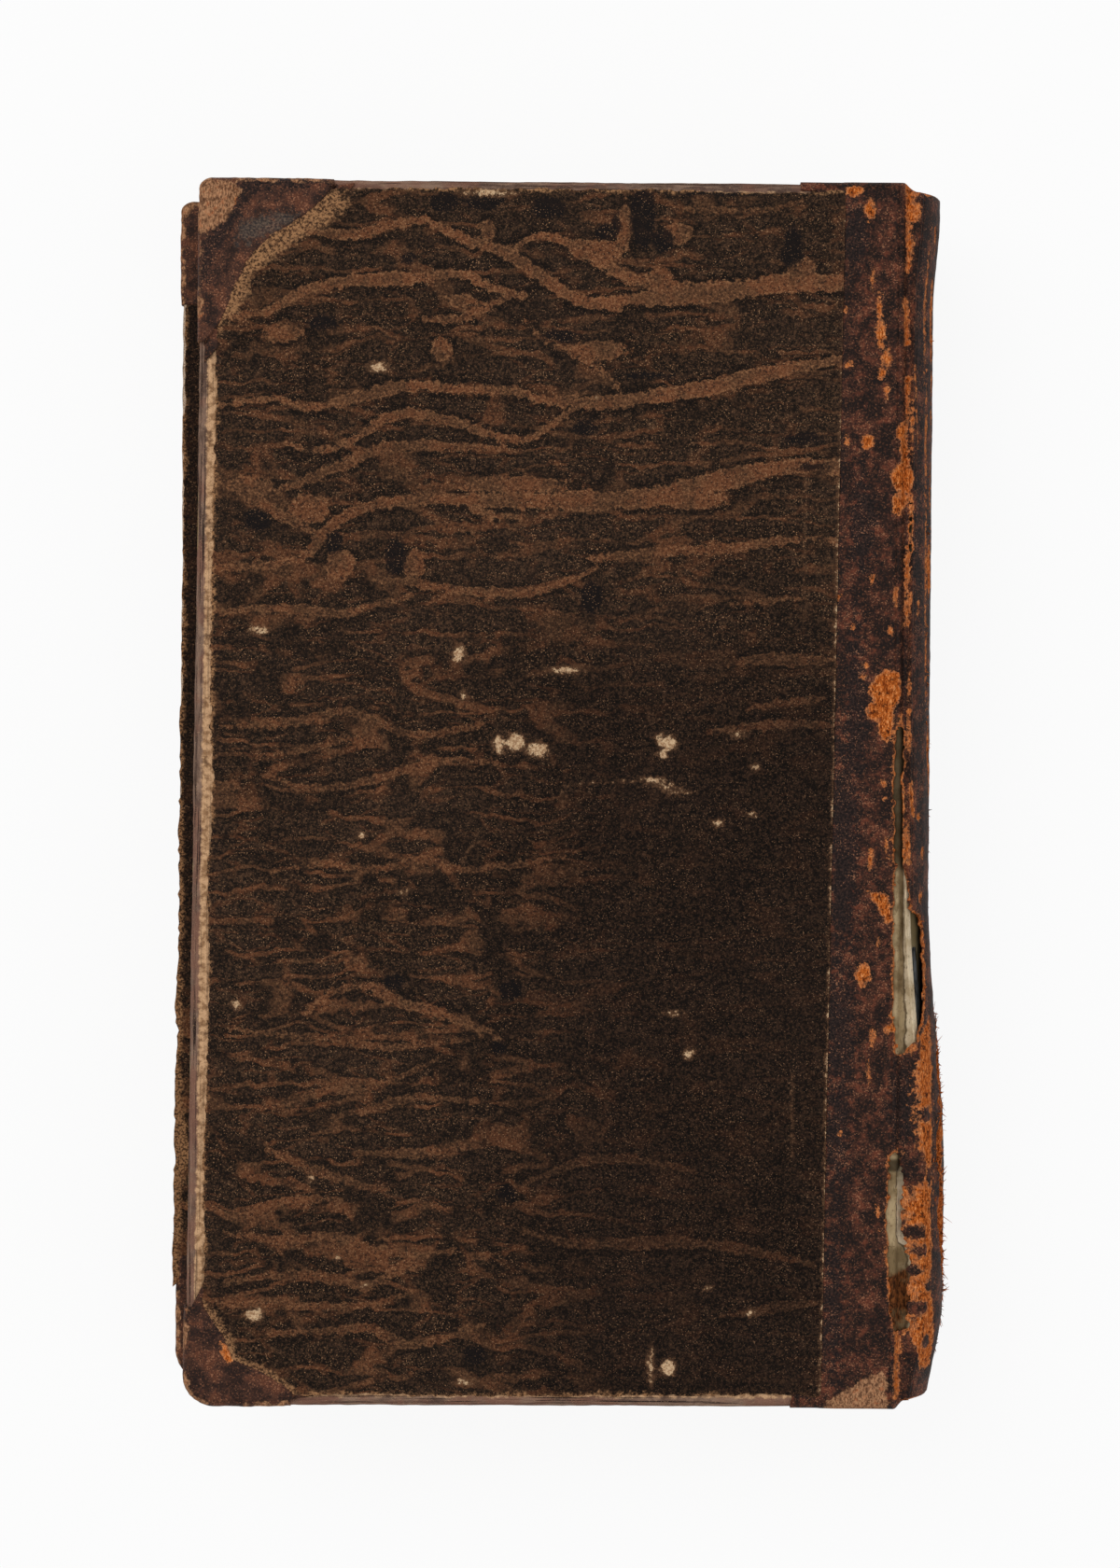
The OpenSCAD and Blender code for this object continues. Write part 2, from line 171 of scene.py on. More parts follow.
def patch_distance(a, b, corners):
    """Distance from a patch's outline, minus inside the patch."""
    ring = np.vstack([corners, corners[:1]])
    d, _ = line_distance(a, b, ring)
    inside = np.zeros(np.shape(a), bool)
    for (a0, b0), (a1, b1) in zip(ring[:-1], ring[1:]):
        crosses = (b0 > b) != (b1 > b)
        reach = (a1 - a0) * (b - b0) / (b1 - b0 if b1 != b0 else 1e-9) + a0
        inside ^= crosses & (a < reach)
    return np.where(inside, -d, d)


def spots_distance(a, b, spots):
    """Distance from round or oval spots (place, half width, half height), minus inside them."""
    best = np.full(np.shape(a), 1e3)
    for (a0, b0), half_a, half_b in spots:
        r = np.hypot((a - a0) / half_a, (b - b0) / half_b)
        best = np.minimum(best, (r - 1) * min(half_a, half_b))
    return best


# x of the fore edge at head and tail: the lower board has worn the other way
FORE_EDGE = {"back": (-109.5, -110.5), "front": (-109.6, -108.9)}


def board_inset(side, x, y):
    """How far inside the board's outline a place lies, and its distances from head, tail and fore edge."""
    at_head, at_tail = FORE_EDGE[side]
    head = BOARD_H / 2 - y
    tail = y + BOARD_H / 2 - TAIL_DRIFT * x / (BOARD_W + FORE_DRIFT)
    fore = x - at_head - (at_tail - at_head) * (0.5 - y / BOARD_H)

    def rounded(p, q, r):
        return np.where((p < r) & (q < r), r - np.hypot(r - p, r - q), np.minimum(p, q))

    return np.minimum(rounded(head, fore, HEAD_R), rounded(tail, fore, TAIL_R)), head, tail, fore


def strip_w(y):
    return STRIP_TAIL_W + (STRIP_HEAD_W - STRIP_TAIL_W) * (0.5 + y / BOARD_H)


# Where the paper stops at the back cover's leather corners, in pixels
CORNER_LINES = {
    "head": [(358, 195), (348, 209), (330, 226), (306, 243), (284, 257), (267, 277), (256, 298), (246, 320), (235, 344),
             (218, 366)],
    "tail": [(214, 1398), (226, 1413), (240, 1434), (249, 1457), (281, 1471), (302, 1483), (314, 1497)]}


def corner_patches(side):
    """Outlines of the leather corners: as the photo shows them on the back cover, cut straight on the front."""
    if side == "back":
        outer = {"head": [(150, 372), (150, 120), (364, 120)], "tail": [(320, 1600), (150, 1600), (150, 1392)]}
        return {end: from_photo(line + outer[end]) for end, line in CORNER_LINES.items()}
    patches = {}
    for end, sign in (("head", 1), ("tail", -1)):
        legs = FRONT_CORNERS[end]
        x0, y0 = -BOARD_W - FORE_DRIFT * (0.5 - sign / 2), sign * BOARD_H / 2
        patches[end] = np.array([
            (x0 + legs[0] * 1.3, y0 + sign * legs[1] * 0.3), (x0 - legs[0] * 0.3, y0 - sign * legs[1] * 1.3),
            (x0 - 30, y0 - sign * 10), (x0 - 30, y0 + sign * 30), (x0 + 10, y0 + sign * 30)])
    return patches


# ---------------------------------------------------------------- shapes
def new_sheet(columns, rows, place):
    """A grid of quads laid where place says, for a and b from 0 to 1."""
    shape = bmesh.new()
    bmesh.ops.create_grid(shape, x_segments=columns, y_segments=rows, size=1)
    mesh = bpy.data.meshes.new("sheet")
    shape.to_mesh(mesh)
    shape.free()
    co = np.empty(len(mesh.vertices) * 3)
    mesh.vertices.foreach_get("co", co)
    co = co.reshape(-1, 3)
    mesh.vertices.foreach_set("co", place(co[:, 0] / 2 + 0.5, co[:, 1] / 2 + 0.5).astype(np.float32).ravel())
    return mesh


def mark(mesh, **fields):
    """Writes named fields on a mesh, which its finish reads."""
    for name, values in fields.items():
        values = np.asarray(values, np.float32)
        kind = "FLOAT_VECTOR" if values.ndim == 2 else "FLOAT"
        layer = mesh.attributes.new(name, kind, "POINT")
        layer.data.foreach_set("vector" if values.ndim == 2 else "value", values.ravel())


def drawn_onto(field, a, b, f, step, where=True):
    """Moves the places just outside a field's 0 onto it."""
    for _ in range(2):
        near = where & (f < 0) & (f > -2.5 * step)
        if not near.any():
            break
        h = step / 4
        an, bn = a[near], b[near]
        slope_a = (field(an + h, bn) - field(an - h, bn)) / (2 * h)
        slope_b = (field(an, bn + h) - field(an, bn - h)) / (2 * h)
        push = np.clip(-f[near] / np.maximum(slope_a ** 2 + slope_b ** 2, 0.3), 0, 1.2 * step)
        a[near] += slope_a * push
        b[near] += slope_b * push
        f[near] = field(a[near], b[near])


def as_shape(mesh, kept=None):
    """A sheet's mesh as a shape to work on, without the faces of which no place is kept."""
    shape = bmesh.new()
    shape.from_mesh(mesh)
    bpy.data.meshes.remove(mesh)
    if kept is not None:
        shape.verts.index_update()
        lost = [f for f in shape.faces if not any(kept[v.index] for v in f.verts)]
        bmesh.ops.delete(shape, geom=lost, context="FACES")
        bmesh.ops.delete(shape, geom=[v for v in shape.verts if not v.link_faces], context="VERTS")
    return shape


def cut_sheet(a_span, b_span, step, field, place, fields):
    """A sheet over a plane in millimetres, kept where field is above 0, with its rim drawn onto the field's 0."""
    columns = max(2, round((a_span[1] - a_span[0]) / step))
    rows = max(2, round((b_span[1] - b_span[0]) / step))
    held = {}

    def lay(u, v):
        a = a_span[0] + (a_span[1] - a_span[0]) * u
        b = b_span[0] + (b_span[1] - b_span[0]) * v
        f = field(a, b)
        held["kept"] = f >= 0
        drawn_onto(field, a, b, f, step)
        held["a"], held["b"] = a, b
        return place(a, b)

    mesh = new_sheet(columns, rows, lay)
    mark(mesh, **fields(held["a"], held["b"]))
    return as_shape(mesh, held["kept"])


def close_below(shape, height):
    """Gives a sheet its body: walls from its rim to a height, and a flat underside there."""
    rim = [e for e in shape.edges if e.is_boundary]
    walls = bmesh.ops.extrude_edge_only(shape, edges=rim)["geom"]
    low_verts = [g for g in walls if isinstance(g, bmesh.types.BMVert)]
    for vert in low_verts:
        vert.co.z = height * MM
    low_edges = [g for g in walls if isinstance(g, bmesh.types.BMEdge) and g.is_boundary]
    bmesh.ops.triangle_fill(shape, edges=low_edges, use_beauty=False, use_dissolve=False)


def to_piece(name, shape, finish, body=None, replaces=(), flip=False, recalc=False, sharp=50):
    """Makes an object of a shape, with its finish and body, and hides the CAD parts that it replaces."""
    if flip:
        bmesh.ops.reverse_faces(shape, faces=shape.faces)
    if recalc:
        bmesh.ops.recalc_face_normals(shape, faces=shape.faces)
    mesh = bpy.data.meshes.new(name)
    shape.to_mesh(mesh)
    shape.free()
    mesh.shade_smooth()
    mesh.set_sharp_from_angle(angle=math.radians(sharp))
    piece = bpy.data.objects.new(name, mesh)
    bpy.context.scene.collection.objects.link(piece)
    mesh.materials.append(finish)
    if replaces:
        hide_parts(*replaces)
    if body:
        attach(piece, body)
    return piece


def thicken(piece, amount):
    wall = piece.modifiers.new("thickness", "SOLIDIFY")
    wall.thickness = amount * MM
    wall.offset = -1
    return piece


def joined(shapes):
    """One shape from several."""
    whole = bmesh.new()
    for shape in shapes:
        mesh = bpy.data.meshes.new("part")
        shape.to_mesh(mesh)
        shape.free()
        whole.from_mesh(mesh)
        bpy.data.meshes.remove(mesh)
    return whole


# ---------------------------------------------------------------- finishes
def tone(red, green, blue):
    """A colour as a screen shows it, in the numbers that a shader takes."""
    shares = (c / 255 for c in (red, green, blue))
    return tuple(c / 12.92 if c <= 0.04 else ((c + 0.055) / 1.055) ** 2.4 for c in shares) + (1,)


class Reading:
    """A number or colour that varies over a surface, with the operators that a finish is written in."""

    def __init__(self, finish, socket):
        self.finish, self.socket = finish, socket

    def __add__(self, other):
        return self.finish.maths("ADD", self, other)

    def __sub__(self, other):
        return self.finish.maths("SUBTRACT", self, other)

    def __rsub__(self, other):
        return self.finish.maths("SUBTRACT", other, self)

    def __mul__(self, other):
        return self.finish.maths("MULTIPLY", self, other)

    __radd__, __rmul__ = __add__, __mul__


class Finish:
    """A material built from nodes."""

    def __init__(self, name, **constants):
        self.material = bpy.data.materials.new(name)
        self.material.use_nodes = True
        self.tree = self.material.node_tree
        self.shader = next(n for n in self.tree.nodes if n.type == "BSDF_PRINCIPLED")
        for socket, value in constants.items():
            self.shader.inputs[socket.replace("_", " ")].default_value = value

    def node(self, kind, settings=None, values=(), output=0):
        made = self.tree.nodes.new(kind)
        for key, value in (settings or {}).items():
            setattr(made, key, value)
        for key, value in values.items() if isinstance(values, dict) else enumerate(values):
            if isinstance(value, Reading):
                self.tree.links.new(value.socket, made.inputs[key])
            elif value is not None:
                made.inputs[key].default_value = value
        return Reading(self, made.outputs[output])

    def maths(self, operation, *values):
        return self.node("ShaderNodeMath", {"operation": operation}, values)

    def place(self, rest=False):
        """Coordinates in millimetres: the object's own, or those that a bending piece keeps from rest."""
        if rest:
            return self.node("ShaderNodeAttribute", {"attribute_name": "rest"}, output="Vector")
        where = self.node("ShaderNodeTexCoord", output="Object")
        return self.node("ShaderNodeVectorMath", {"operation": "SCALE"}, {"Vector": where, "Scale": 1 / MM})

    def stretched(self, where, *factors):
        return self.node("ShaderNodeVectorMath", {"operation": "MULTIPLY"}, [where, factors])

    def moved(self, where, scale, reach):
        """A place carried off in a random direction, by up to about half the reach."""
        way = self.node("ShaderNodeTexNoise", {}, {"Vector": where, "Scale": scale, "Detail": 2.0}, "Color")
        way = self.node("ShaderNodeVectorMath", {"operation": "SUBTRACT"}, [way, (0.5, 0.5, 0.5)])
        way = self.node("ShaderNodeVectorMath", {"operation": "SCALE"}, {"Vector": way, "Scale": reach})
        return self.node("ShaderNodeVectorMath", {}, [where, way])

    def field(self, name):
        return self.node("ShaderNodeAttribute", {"attribute_name": name}, output="Fac")

    def noise(self, where, scale, detail=2.0, rough=0.5, warp=0.0):
        return self.node("ShaderNodeTexNoise", {}, {
            "Vector": where, "Scale": scale, "Detail": detail, "Roughness": rough, "Distortion": warp})

    def cells(self, where, scale, feature="F1"):
        return self.node("ShaderNodeTexVoronoi", {"feature": feature}, {"Vector": where, "Scale": scale})

    def ramp(self, value, low, high):
        """0 at low and 1 at high, eased; low may be the larger."""
        return self.node("ShaderNodeMapRange", {"interpolation_type": "SMOOTHSTEP"}, [value, low, high, 0.0, 1.0])

    def blend(self, share, first, second, mode="MIX"):
        """Two colours blended. One that doesn't vary is written as a screen shows it, from 0 to 255."""
        first, second = (tone(*shade) if isinstance(shade, tuple) else shade for shade in (first, second))
        return self.node(
            "ShaderNodeMix", {"data_type": "RGBA", "blend_type": mode}, {0: share, 6: first, 7: second}, output=2)

    def between(self, value, low, high, first, second):
        """The first colour where a value is at low, and the second where it is at high."""
        return self.blend(self.ramp(value, low, high), first, second)

    def laid(self, colour, *layers):
        """A colour with others laid over it, each where its value nears high, as strongly as its share says."""
        for value, low, high, share, shade in layers:
            colour = self.blend(self.ramp(value, low, high) * share, colour, shade)
        return colour

    def bump(self, height, distance):
        return self.node("ShaderNodeBump", {}, {"Height": height, "Distance": distance * MM, "Strength": 1.0}, "Normal")

    def paint(self, **readings):
        """Links what varies to the shader and returns the material."""
        for socket, reading in readings.items():
            self.tree.links.new(reading.socket, self.shader.inputs[socket.replace("_", " ")])
        return self.material


def paste_paper(name):
    """Dark paper combed while its paste was wet: brown veins on a near-black speckled ground."""
    f = Finish(name, Specular_IOR_Level=0.06)
    p = f.place()
    grain, fine = f.noise(p, 6.5, 2, 0.6), f.noise(p, 2.8, 3, 0.65)
    mottle, patch = f.noise(p, 0.9, 3, 0.62), f.noise(p, 0.2, 3, 0.6)
    ragged = (mottle - 0.5) * 2.4 + (fine - 0.5) * 0.8 + (grain - 0.5) * 0.4
    vein, force, streak = f.field("vein") + ragged, f.field("vein_force"), f.field("streak")
    in_vein = f.ramp(vein, 0.1, -0.14) * force
    halo = f.ramp(vein, 1.7, 0.25) * f.ramp(vein, -0.1, 0.2) * force
    bent = f.moved(f.moved(p, 0.1, 4.5), 0.5, 1.6)

    def veinlets(across, along, fine_share, mottle_share):
        cells = f.cells(f.stretched(bent, across, along, 0.1), 1.0, "DISTANCE_TO_EDGE")
        return cells + (fine - 0.5) * fine_share + (mottle - 0.5) * mottle_share

    net, small = veinlets(0.035, 0.25, 0.07, 0.12), veinlets(0.09, 0.42, 0.1, 0.1)
    in_net = f.ramp(net, 0.08, 0.05) * streak * f.ramp(f.noise(p, 0.15, 2, 0.5), 0.42, 0.52)
    in_small = f.ramp(small, 0.07, 0.03) * streak * f.ramp(patch, 0.44, 0.56)
    net_halo = f.ramp(net, 0.2, 0.1) * streak * 0.6

    ground = f.laid(
        f.between(f.noise(p, 0.045, 2, 0.5), 0.3, 0.7, (31, 23, 18), (40, 30, 24)),
        (mottle, 0.48, 0.68, 0.6, (70, 50, 38)), (fine, 0.5, 0.64, 0.7, (92, 66, 47)),
        (fine, 0.48, 0.34, 0.9, (20, 15, 12)))
    ground = f.blend(f.maths("MAXIMUM", halo, net_halo) * 0.8, ground, (20, 15, 13))
    brown = f.laid(
        f.between(patch, 0.4, 0.6, (92, 62, 42), (114, 70, 45)),
        (fine, 0.49, 0.36, 0.9, (46, 32, 26)), (fine, 0.54, 0.66, 0.7, (150, 106, 74)))
    rim = f.ramp(f.maths("ABSOLUTE", vein + 0.12), 0.22, 0.05) * f.ramp(fine, 0.44, 0.56) * force
    colour = f.blend(in_small * 0.6, ground, f.blend(0.3, brown, ground))
    colour = f.blend(in_net * 0.9, colour, brown)
    colour = f.blend(in_vein, colour, brown)
    colour = f.blend(rim * 0.55, colour, (150, 106, 72))
    colour = f.laid(colour, (f.field("blot") + ragged * 0.7, 0.25, -0.45, 0.9, (24, 20, 20)))
    specks = f.ramp(f.noise(p, 4.4, 1, 0.5), 0.64, 0.72) * (0.3 + f.ramp(patch, 0.4, 0.6) * 0.7)
    colour = f.blend(specks * 0.85, colour, (172, 130, 94))
    # painted shade: a cool grey darkening, strongest towards one corner of each cover's paper
    colour = f.blend(f.field("dim"), colour, f.blend(1.0, colour, (196, 196, 202), "MULTIPLY"))

    rub = f.field("rub") + (f.noise(p, 1.3, 4, 0.7) - 0.5) * 2.6 + (patch - 0.45) * 2.6
    rubbed = f.between(fine, 0.36, 0.62, (84, 58, 40), (166, 122, 84))
    colour = f.blend(f.ramp(rub, 0.5, -0.35) * (0.45 + f.ramp(fine, 0.42, 0.54) * 0.55), colour, rubbed)
    flaked = f.field("loss") + (grain - 0.5) * 0.7 + (fine - 0.5) * 1.3 + (f.noise(p, 1.3, 2, 0.6) - 0.5) * 1.8
    bare = f.ramp(flaked, 0.0, -0.16)
    colour = f.laid(colour, (flaked, 0.45, 0.0, 0.5, (116, 82, 58)))
    colour = f.blend(bare, colour, f.between(fine, 0.36, 0.6, (156, 118, 86), (214, 182, 144)))
    height = fine * 0.5 + grain * 0.25 + in_vein * 0.3 - bare * 0.8
    return f.paint(Base_Color=colour, Roughness=0.7 + (fine - 0.5) * 0.2, Normal=f.bump(height, 0.09))


def book_leather(name, rest=False, corner=False):
    """Thin brown leather, stained nearly black, with bare orange suede where its face has worn off."""
    f = Finish(name, Specular_IOR_Level=0.1)
    p = f.place(rest)
    grain, fine = f.noise(p, 6.5, 2, 0.6), f.noise(p, 2.8, 3, 0.65)
    mottle, patch = f.noise(p, 0.95, 3, 0.65), f.noise(p, 0.3, 3, 0.6)
    dark, mid, red = (((46, 31, 26), (78, 50, 39), (124, 68, 42)) if corner
                      else ((33, 23, 20), (66, 39, 30), (110, 58, 40)))
    soft, share = (0.25, 0.3) if corner else (0.7, 0.8)
    stain = f.field("stain") + (mottle - 0.5) * 5 + (fine - 0.5) * 1.5
    colour = f.laid(
        f.between(patch + (mottle - 0.5) * soft, 0.38, 0.6, dark, mid),
        (mottle * soft + patch * (1.4 - soft) - 0.2, 0.52, 0.68, share, red),
        (fine, 0.47, 0.33, 0.75, (23, 18, 19)), (fine, 0.54, 0.68, 0.6, (126, 80, 56)),
        (stain, 0.7, -0.7, 0.85, f.between(fine, 0.4, 0.65, (24, 18, 18), (54, 40, 36))),
        (f.noise(p, 4.2, 1, 0.5) + (patch - 0.5) * 0.5, 0.64, 0.73, 0.7, (164, 112, 82)))
    if corner:
        ash = f.field("ash") + (mottle - 0.5) * 5 + (fine - 0.5) * 2
        colour = f.laid(colour, (ash, 0.9, -0.8, 0.55, f.between(fine, 0.4, 0.62, (54, 50, 50), (116, 102, 88))))

    ragged = (f.noise(p, 1.2, 4, 0.66) - 0.5) * 1.9 + (fine - 0.5) * 0.6
    suede = f.field("suede") + ragged
    is_suede = f.ramp(suede, 0.06, -0.08)
    fibres = f.noise(f.stretched(p, 1.6, 0.6, 1.6), 2.6, 4, 0.7, 0.4)
    fresh = f.blend(f.ramp(fibres, 0.55, 0.64), f.between(fibres, 0.4, 0.54, (122, 52, 12), (204, 108, 42)),
                    (240, 162, 100))
    fresh = f.laid(fresh, (mottle + (fine - 0.5) * 0.5, 0.47, 0.34, 0.9, (64, 28, 12)),
                   (suede, -0.5, -0.05, 0.4, (204, 142, 100)))
    colour = f.blend(is_suede, colour, fresh)
    raw = f.ramp(f.field("raw") + ragged * 0.8 + (patch - 0.5) * 3, 0.2, -0.25)
    skinned = f.laid(
        f.between(fibres, 0.38, 0.6, (100, 66, 46), (190, 140, 102)),
        (mottle, 0.48, 0.36, 0.7, (84, 54, 38)), (mottle, 0.55, 0.68, 0.5, (176, 98, 58)))
    colour = f.blend(raw, colour, skinned)
    rough = 0.55 + is_suede * 0.3 + raw * 0.3 + (fine - 0.5) * 0.2
    height = (fine * 0.6 + grain * 0.2 + f.cells(p, 2.2) * 0.25
              - is_suede * (1.1 - fibres * 1.2) - raw * (0.9 - fibres * 0.8))
    return f.paint(Base_Color=colour, Roughness=rough, Normal=f.bump(height, 0.16))


def worn_board():
    """Pasteboard: layers that show as fine lines round the edges, and a tan face where the paper has worn off."""
    f = Finish("worn_board", Specular_IOR_Level=0.08)
    p = f.place()
    inset = f.field("inset")
    along = f.noise(f.stretched(p, 0.09, 0.09, 3.4), 1.0, 4, 0.7)
    lines, cross = (f.noise(f.stretched(p, *way, 1.2), 1.0, 3, 0.65) for way in ((3.0, 0.06), (0.06, 3.0)))
    fibre, mottle, patch = f.noise(p, 4.5, 3, 0.7), f.noise(p, 0.9, 3, 0.6), f.noise(p, 0.15, 3, 0.6)
    rail = f.blend(f.field("rail"), cross, lines)
    edge = f.laid(f.between(along, 0.36, 0.62, (88, 68, 60), (148, 120, 102)),
                  (patch, 0.44, 0.62, 0.7, (132, 92, 76)))
    face = f.laid(f.between(mottle, 0.36, 0.6, (152, 114, 81), (214, 171, 130)),
                  (fibre, 0.46, 0.3, 0.6, (70, 50, 38)))
    colour = f.between(inset + (mottle - 0.5) * 1.2, 1.15, 1.6, edge, face)
    colour = f.laid(
        colour, (rail, 0.46, 0.36, 1 - f.ramp(inset, 1.0, 2.0) * 0.6, (46, 34, 32)),
        (fibre, 0.56, 0.74, 0.7, (200, 160, 122)),
        (patch + (mottle - 0.5) * 0.5, 0.42, 0.3, 0.5, (78, 58, 48)),
        (fibre, 0.38, 0.56, f.field("rim"), (226, 198, 168)))
    return f.paint(
        Base_Color=colour, Roughness=0.8 + fibre * 0.1, Normal=f.bump(fibre * 0.6 + along * 0.8 + mottle * 0.4, 0.2))


def page_edges():
    """The edges of the leaves, in fine lines of cream and brown, and the yellowed faces of the flyleaves."""
    f = Finish("page_edges", Specular_IOR_Level=0.15)
    p = f.place()
    leaves = f.noise(f.stretched(p, 0.01, 0.012, 7.0), 1.0, 3, 0.75)
    gathers = f.noise(f.stretched(p, 0.004, 0.006, 0.9), 1.0, 2, 0.5)
    damp, speck = f.noise(p, 0.05, 4, 0.6), f.noise(p, 1.5, 3, 0.7)
    colour = f.laid(
        f.between(leaves, 0.34, 0.62, (104, 80, 54), (198, 174, 134)),
        (gathers, 0.45, 0.3, 0.6, (96, 72, 50)), (damp, 0.48, 0.7, 0.6, (128, 94, 60)),
        (speck, 0.66, 0.76, 0.6, (92, 60, 36)))
    high = f.node("ShaderNodeSeparateXYZ", {}, [p], output=2)
    outer = f.ramp(f.maths("ABSOLUTE", high - MID_Z), PAGES_T / 2 - 0.06, PAGES_T / 2 - 0.02)
    fly = f.laid(f.between(damp, 0.4, 0.66, (208, 188, 150), (172, 144, 102)),
                 (f.noise(p, 0.4, 3, 0.55), 0.64, 0.74, 0.5, (138, 94, 54)))
    height = (leaves + gathers * 0.5) * (1 - outer) + speck * 0.2
    return f.paint(Base_Color=f.blend(outer, colour, fly), Roughness=0.8 + leaves * 0.1, Normal=f.bump(height, 0.16))


def old_paper(name, light, deep, spots=0.5):
    """Aged laid paper, yellowed in broad clouds, with foxing."""
    f = Finish(name, Specular_IOR_Level=0.15)
    p = f.place()
    laid = f.noise(f.stretched(p, 0.05, 1.6, 1.6), 1.0, 2, 0.5)
    fibre = f.noise(p, 4.0, 3, 0.7)
    colour = f.laid(
        f.between(f.noise(p, 0.03, 4, 0.55), 0.35, 0.68, light, deep),
        (f.noise(p, 0.35, 3, 0.55), 0.64, 0.74, spots, (132, 88, 50)), (fibre, 0.6, 0.4, 0.25, deep))
    return f.paint(Base_Color=colour, Roughness=0.78 + fibre * 0.1, Normal=f.bump(fibre * 0.6 + laid * 0.4, 0.05))


def joint_lining():
    """The back's paper lining where the torn joint bares it: greenish-brown painted shade inside the joint, pale beyond
    its fold.
    """
    f = Finish("joint_lining", Specular_IOR_Level=0.08)
    p = f.place(rest=True)
    across = f.field("across") + (f.noise(p, 0.5, 3, 0.6) - 0.5) * 0.7
    fibre = f.noise(f.stretched(p, 2.0, 0.7, 2.0), 1.6, 4, 0.7)
    cloud = f.noise(p, 0.25, 3, 0.6)
    # painted shade: a darker greenish-brown copy of the lining's paper, for where it lies inside the joint
    olive_in_painted_shade = f.between(cloud, 0.38, 0.62, (128, 107, 76), (180, 157, 120))
    pale = f.between(cloud, 0.36, 0.6, (186, 164, 130), (226, 207, 176))
    # the fold's line, darkened below as painted shade in its crease
    fold = f.maths("ABSOLUTE", across - 0.8)
    layers = f.noise(f.stretched(p, 5.0, 0.04, 5.0), 1.0, 2, 0.5)
    colour = f.laid(
        f.between(across, 0.6, 1.0, olive_in_painted_shade, pale), (fold, 0.14, 0.03, 0.8, (74, 58, 36)),
        # painted shade: near black where the lining passes in under the spine, broken by grey lines
        (across, 2.9, 3.2, 1, f.between(layers, 0.46, 0.58, (26, 22, 22), (108, 112, 112))),
        (fibre, 0.45, 0.3, 0.6, (84, 68, 42)),
        # painted shade: darkness painted into the joint's narrow gaps
        (f.field("gloom") + (cloud - 0.5) * 3, -0.6, 1.0, 0.85, (44, 34, 22)),
        (f.noise(p, 1.4, 3, 0.65), 0.6, 0.72, 0.7, (92, 60, 34)),
        (f.field("rust") + (cloud - 0.5) * 3, -0.2, 0.5, 1, f.between(fibre, 0.4, 0.62, (50, 28, 14), (124, 72, 36))))
    return f.paint(Base_Color=colour, Roughness=0.8 + fibre * 0.1, Normal=f.bump(fibre + cloud, 0.15))


def twisted_hemp():
    f = Finish("twisted_hemp", Specular_IOR_Level=0.2)
    strands = f.noise(f.stretched(f.place(), 3.0, 9.0, 3.0), 1.0, 3, 0.6, 0.5)
    colour = f.between(strands, 0.36, 0.64, (112, 88, 56), (196, 170, 122))
    return f.paint(Base_Color=colour, Roughness=0.8 + strands * 0.1, Normal=f.bump(strands, 0.2))


def endband_cloth():
    """Striped cloth, rubbed and dusty."""
    f = Finish("endband_cloth", Specular_IOR_Level=0.2)
    p = f.place()
    stripe = f.maths("SINE", f.node("ShaderNodeSeparateXYZ", {}, [p], output=2) * 4.2)
    threads = f.noise(f.stretched(p, 6.0, 6.0, 9.0), 1.0, 2, 0.6)
    colour = f.laid(
        f.between(stripe + (threads - 0.5) * 0.6, -0.15, 0.15, (176, 146, 104), (108, 52, 38)),
        (f.noise(p, 0.4, 3, 0.6), 0.4, 0.7, 0.7, (82, 62, 44)))
    return f.paint(Base_Color=colour, Roughness=0.75 + threads * 0.1, Normal=f.bump(threads, 0.15))


PAPER = paste_paper("paste_paper")
LEATHER = book_leather("book_leather")
BENDING_LEATHER = book_leather("bending_leather", rest=True)
CORNER_LEATHER = book_leather("corner_leather", corner=True)
BOARD = worn_board()
PAGES = page_edges()
END_PAPER = old_paper("end_paper", (206, 186, 148), (166, 136, 94))
LINING = old_paper("lining_paper", (172, 158, 124), (104, 88, 56), 0.8)
HEMP = twisted_hemp()
JOINT_LINING = joint_lining()
CLOTH = endband_cloth()


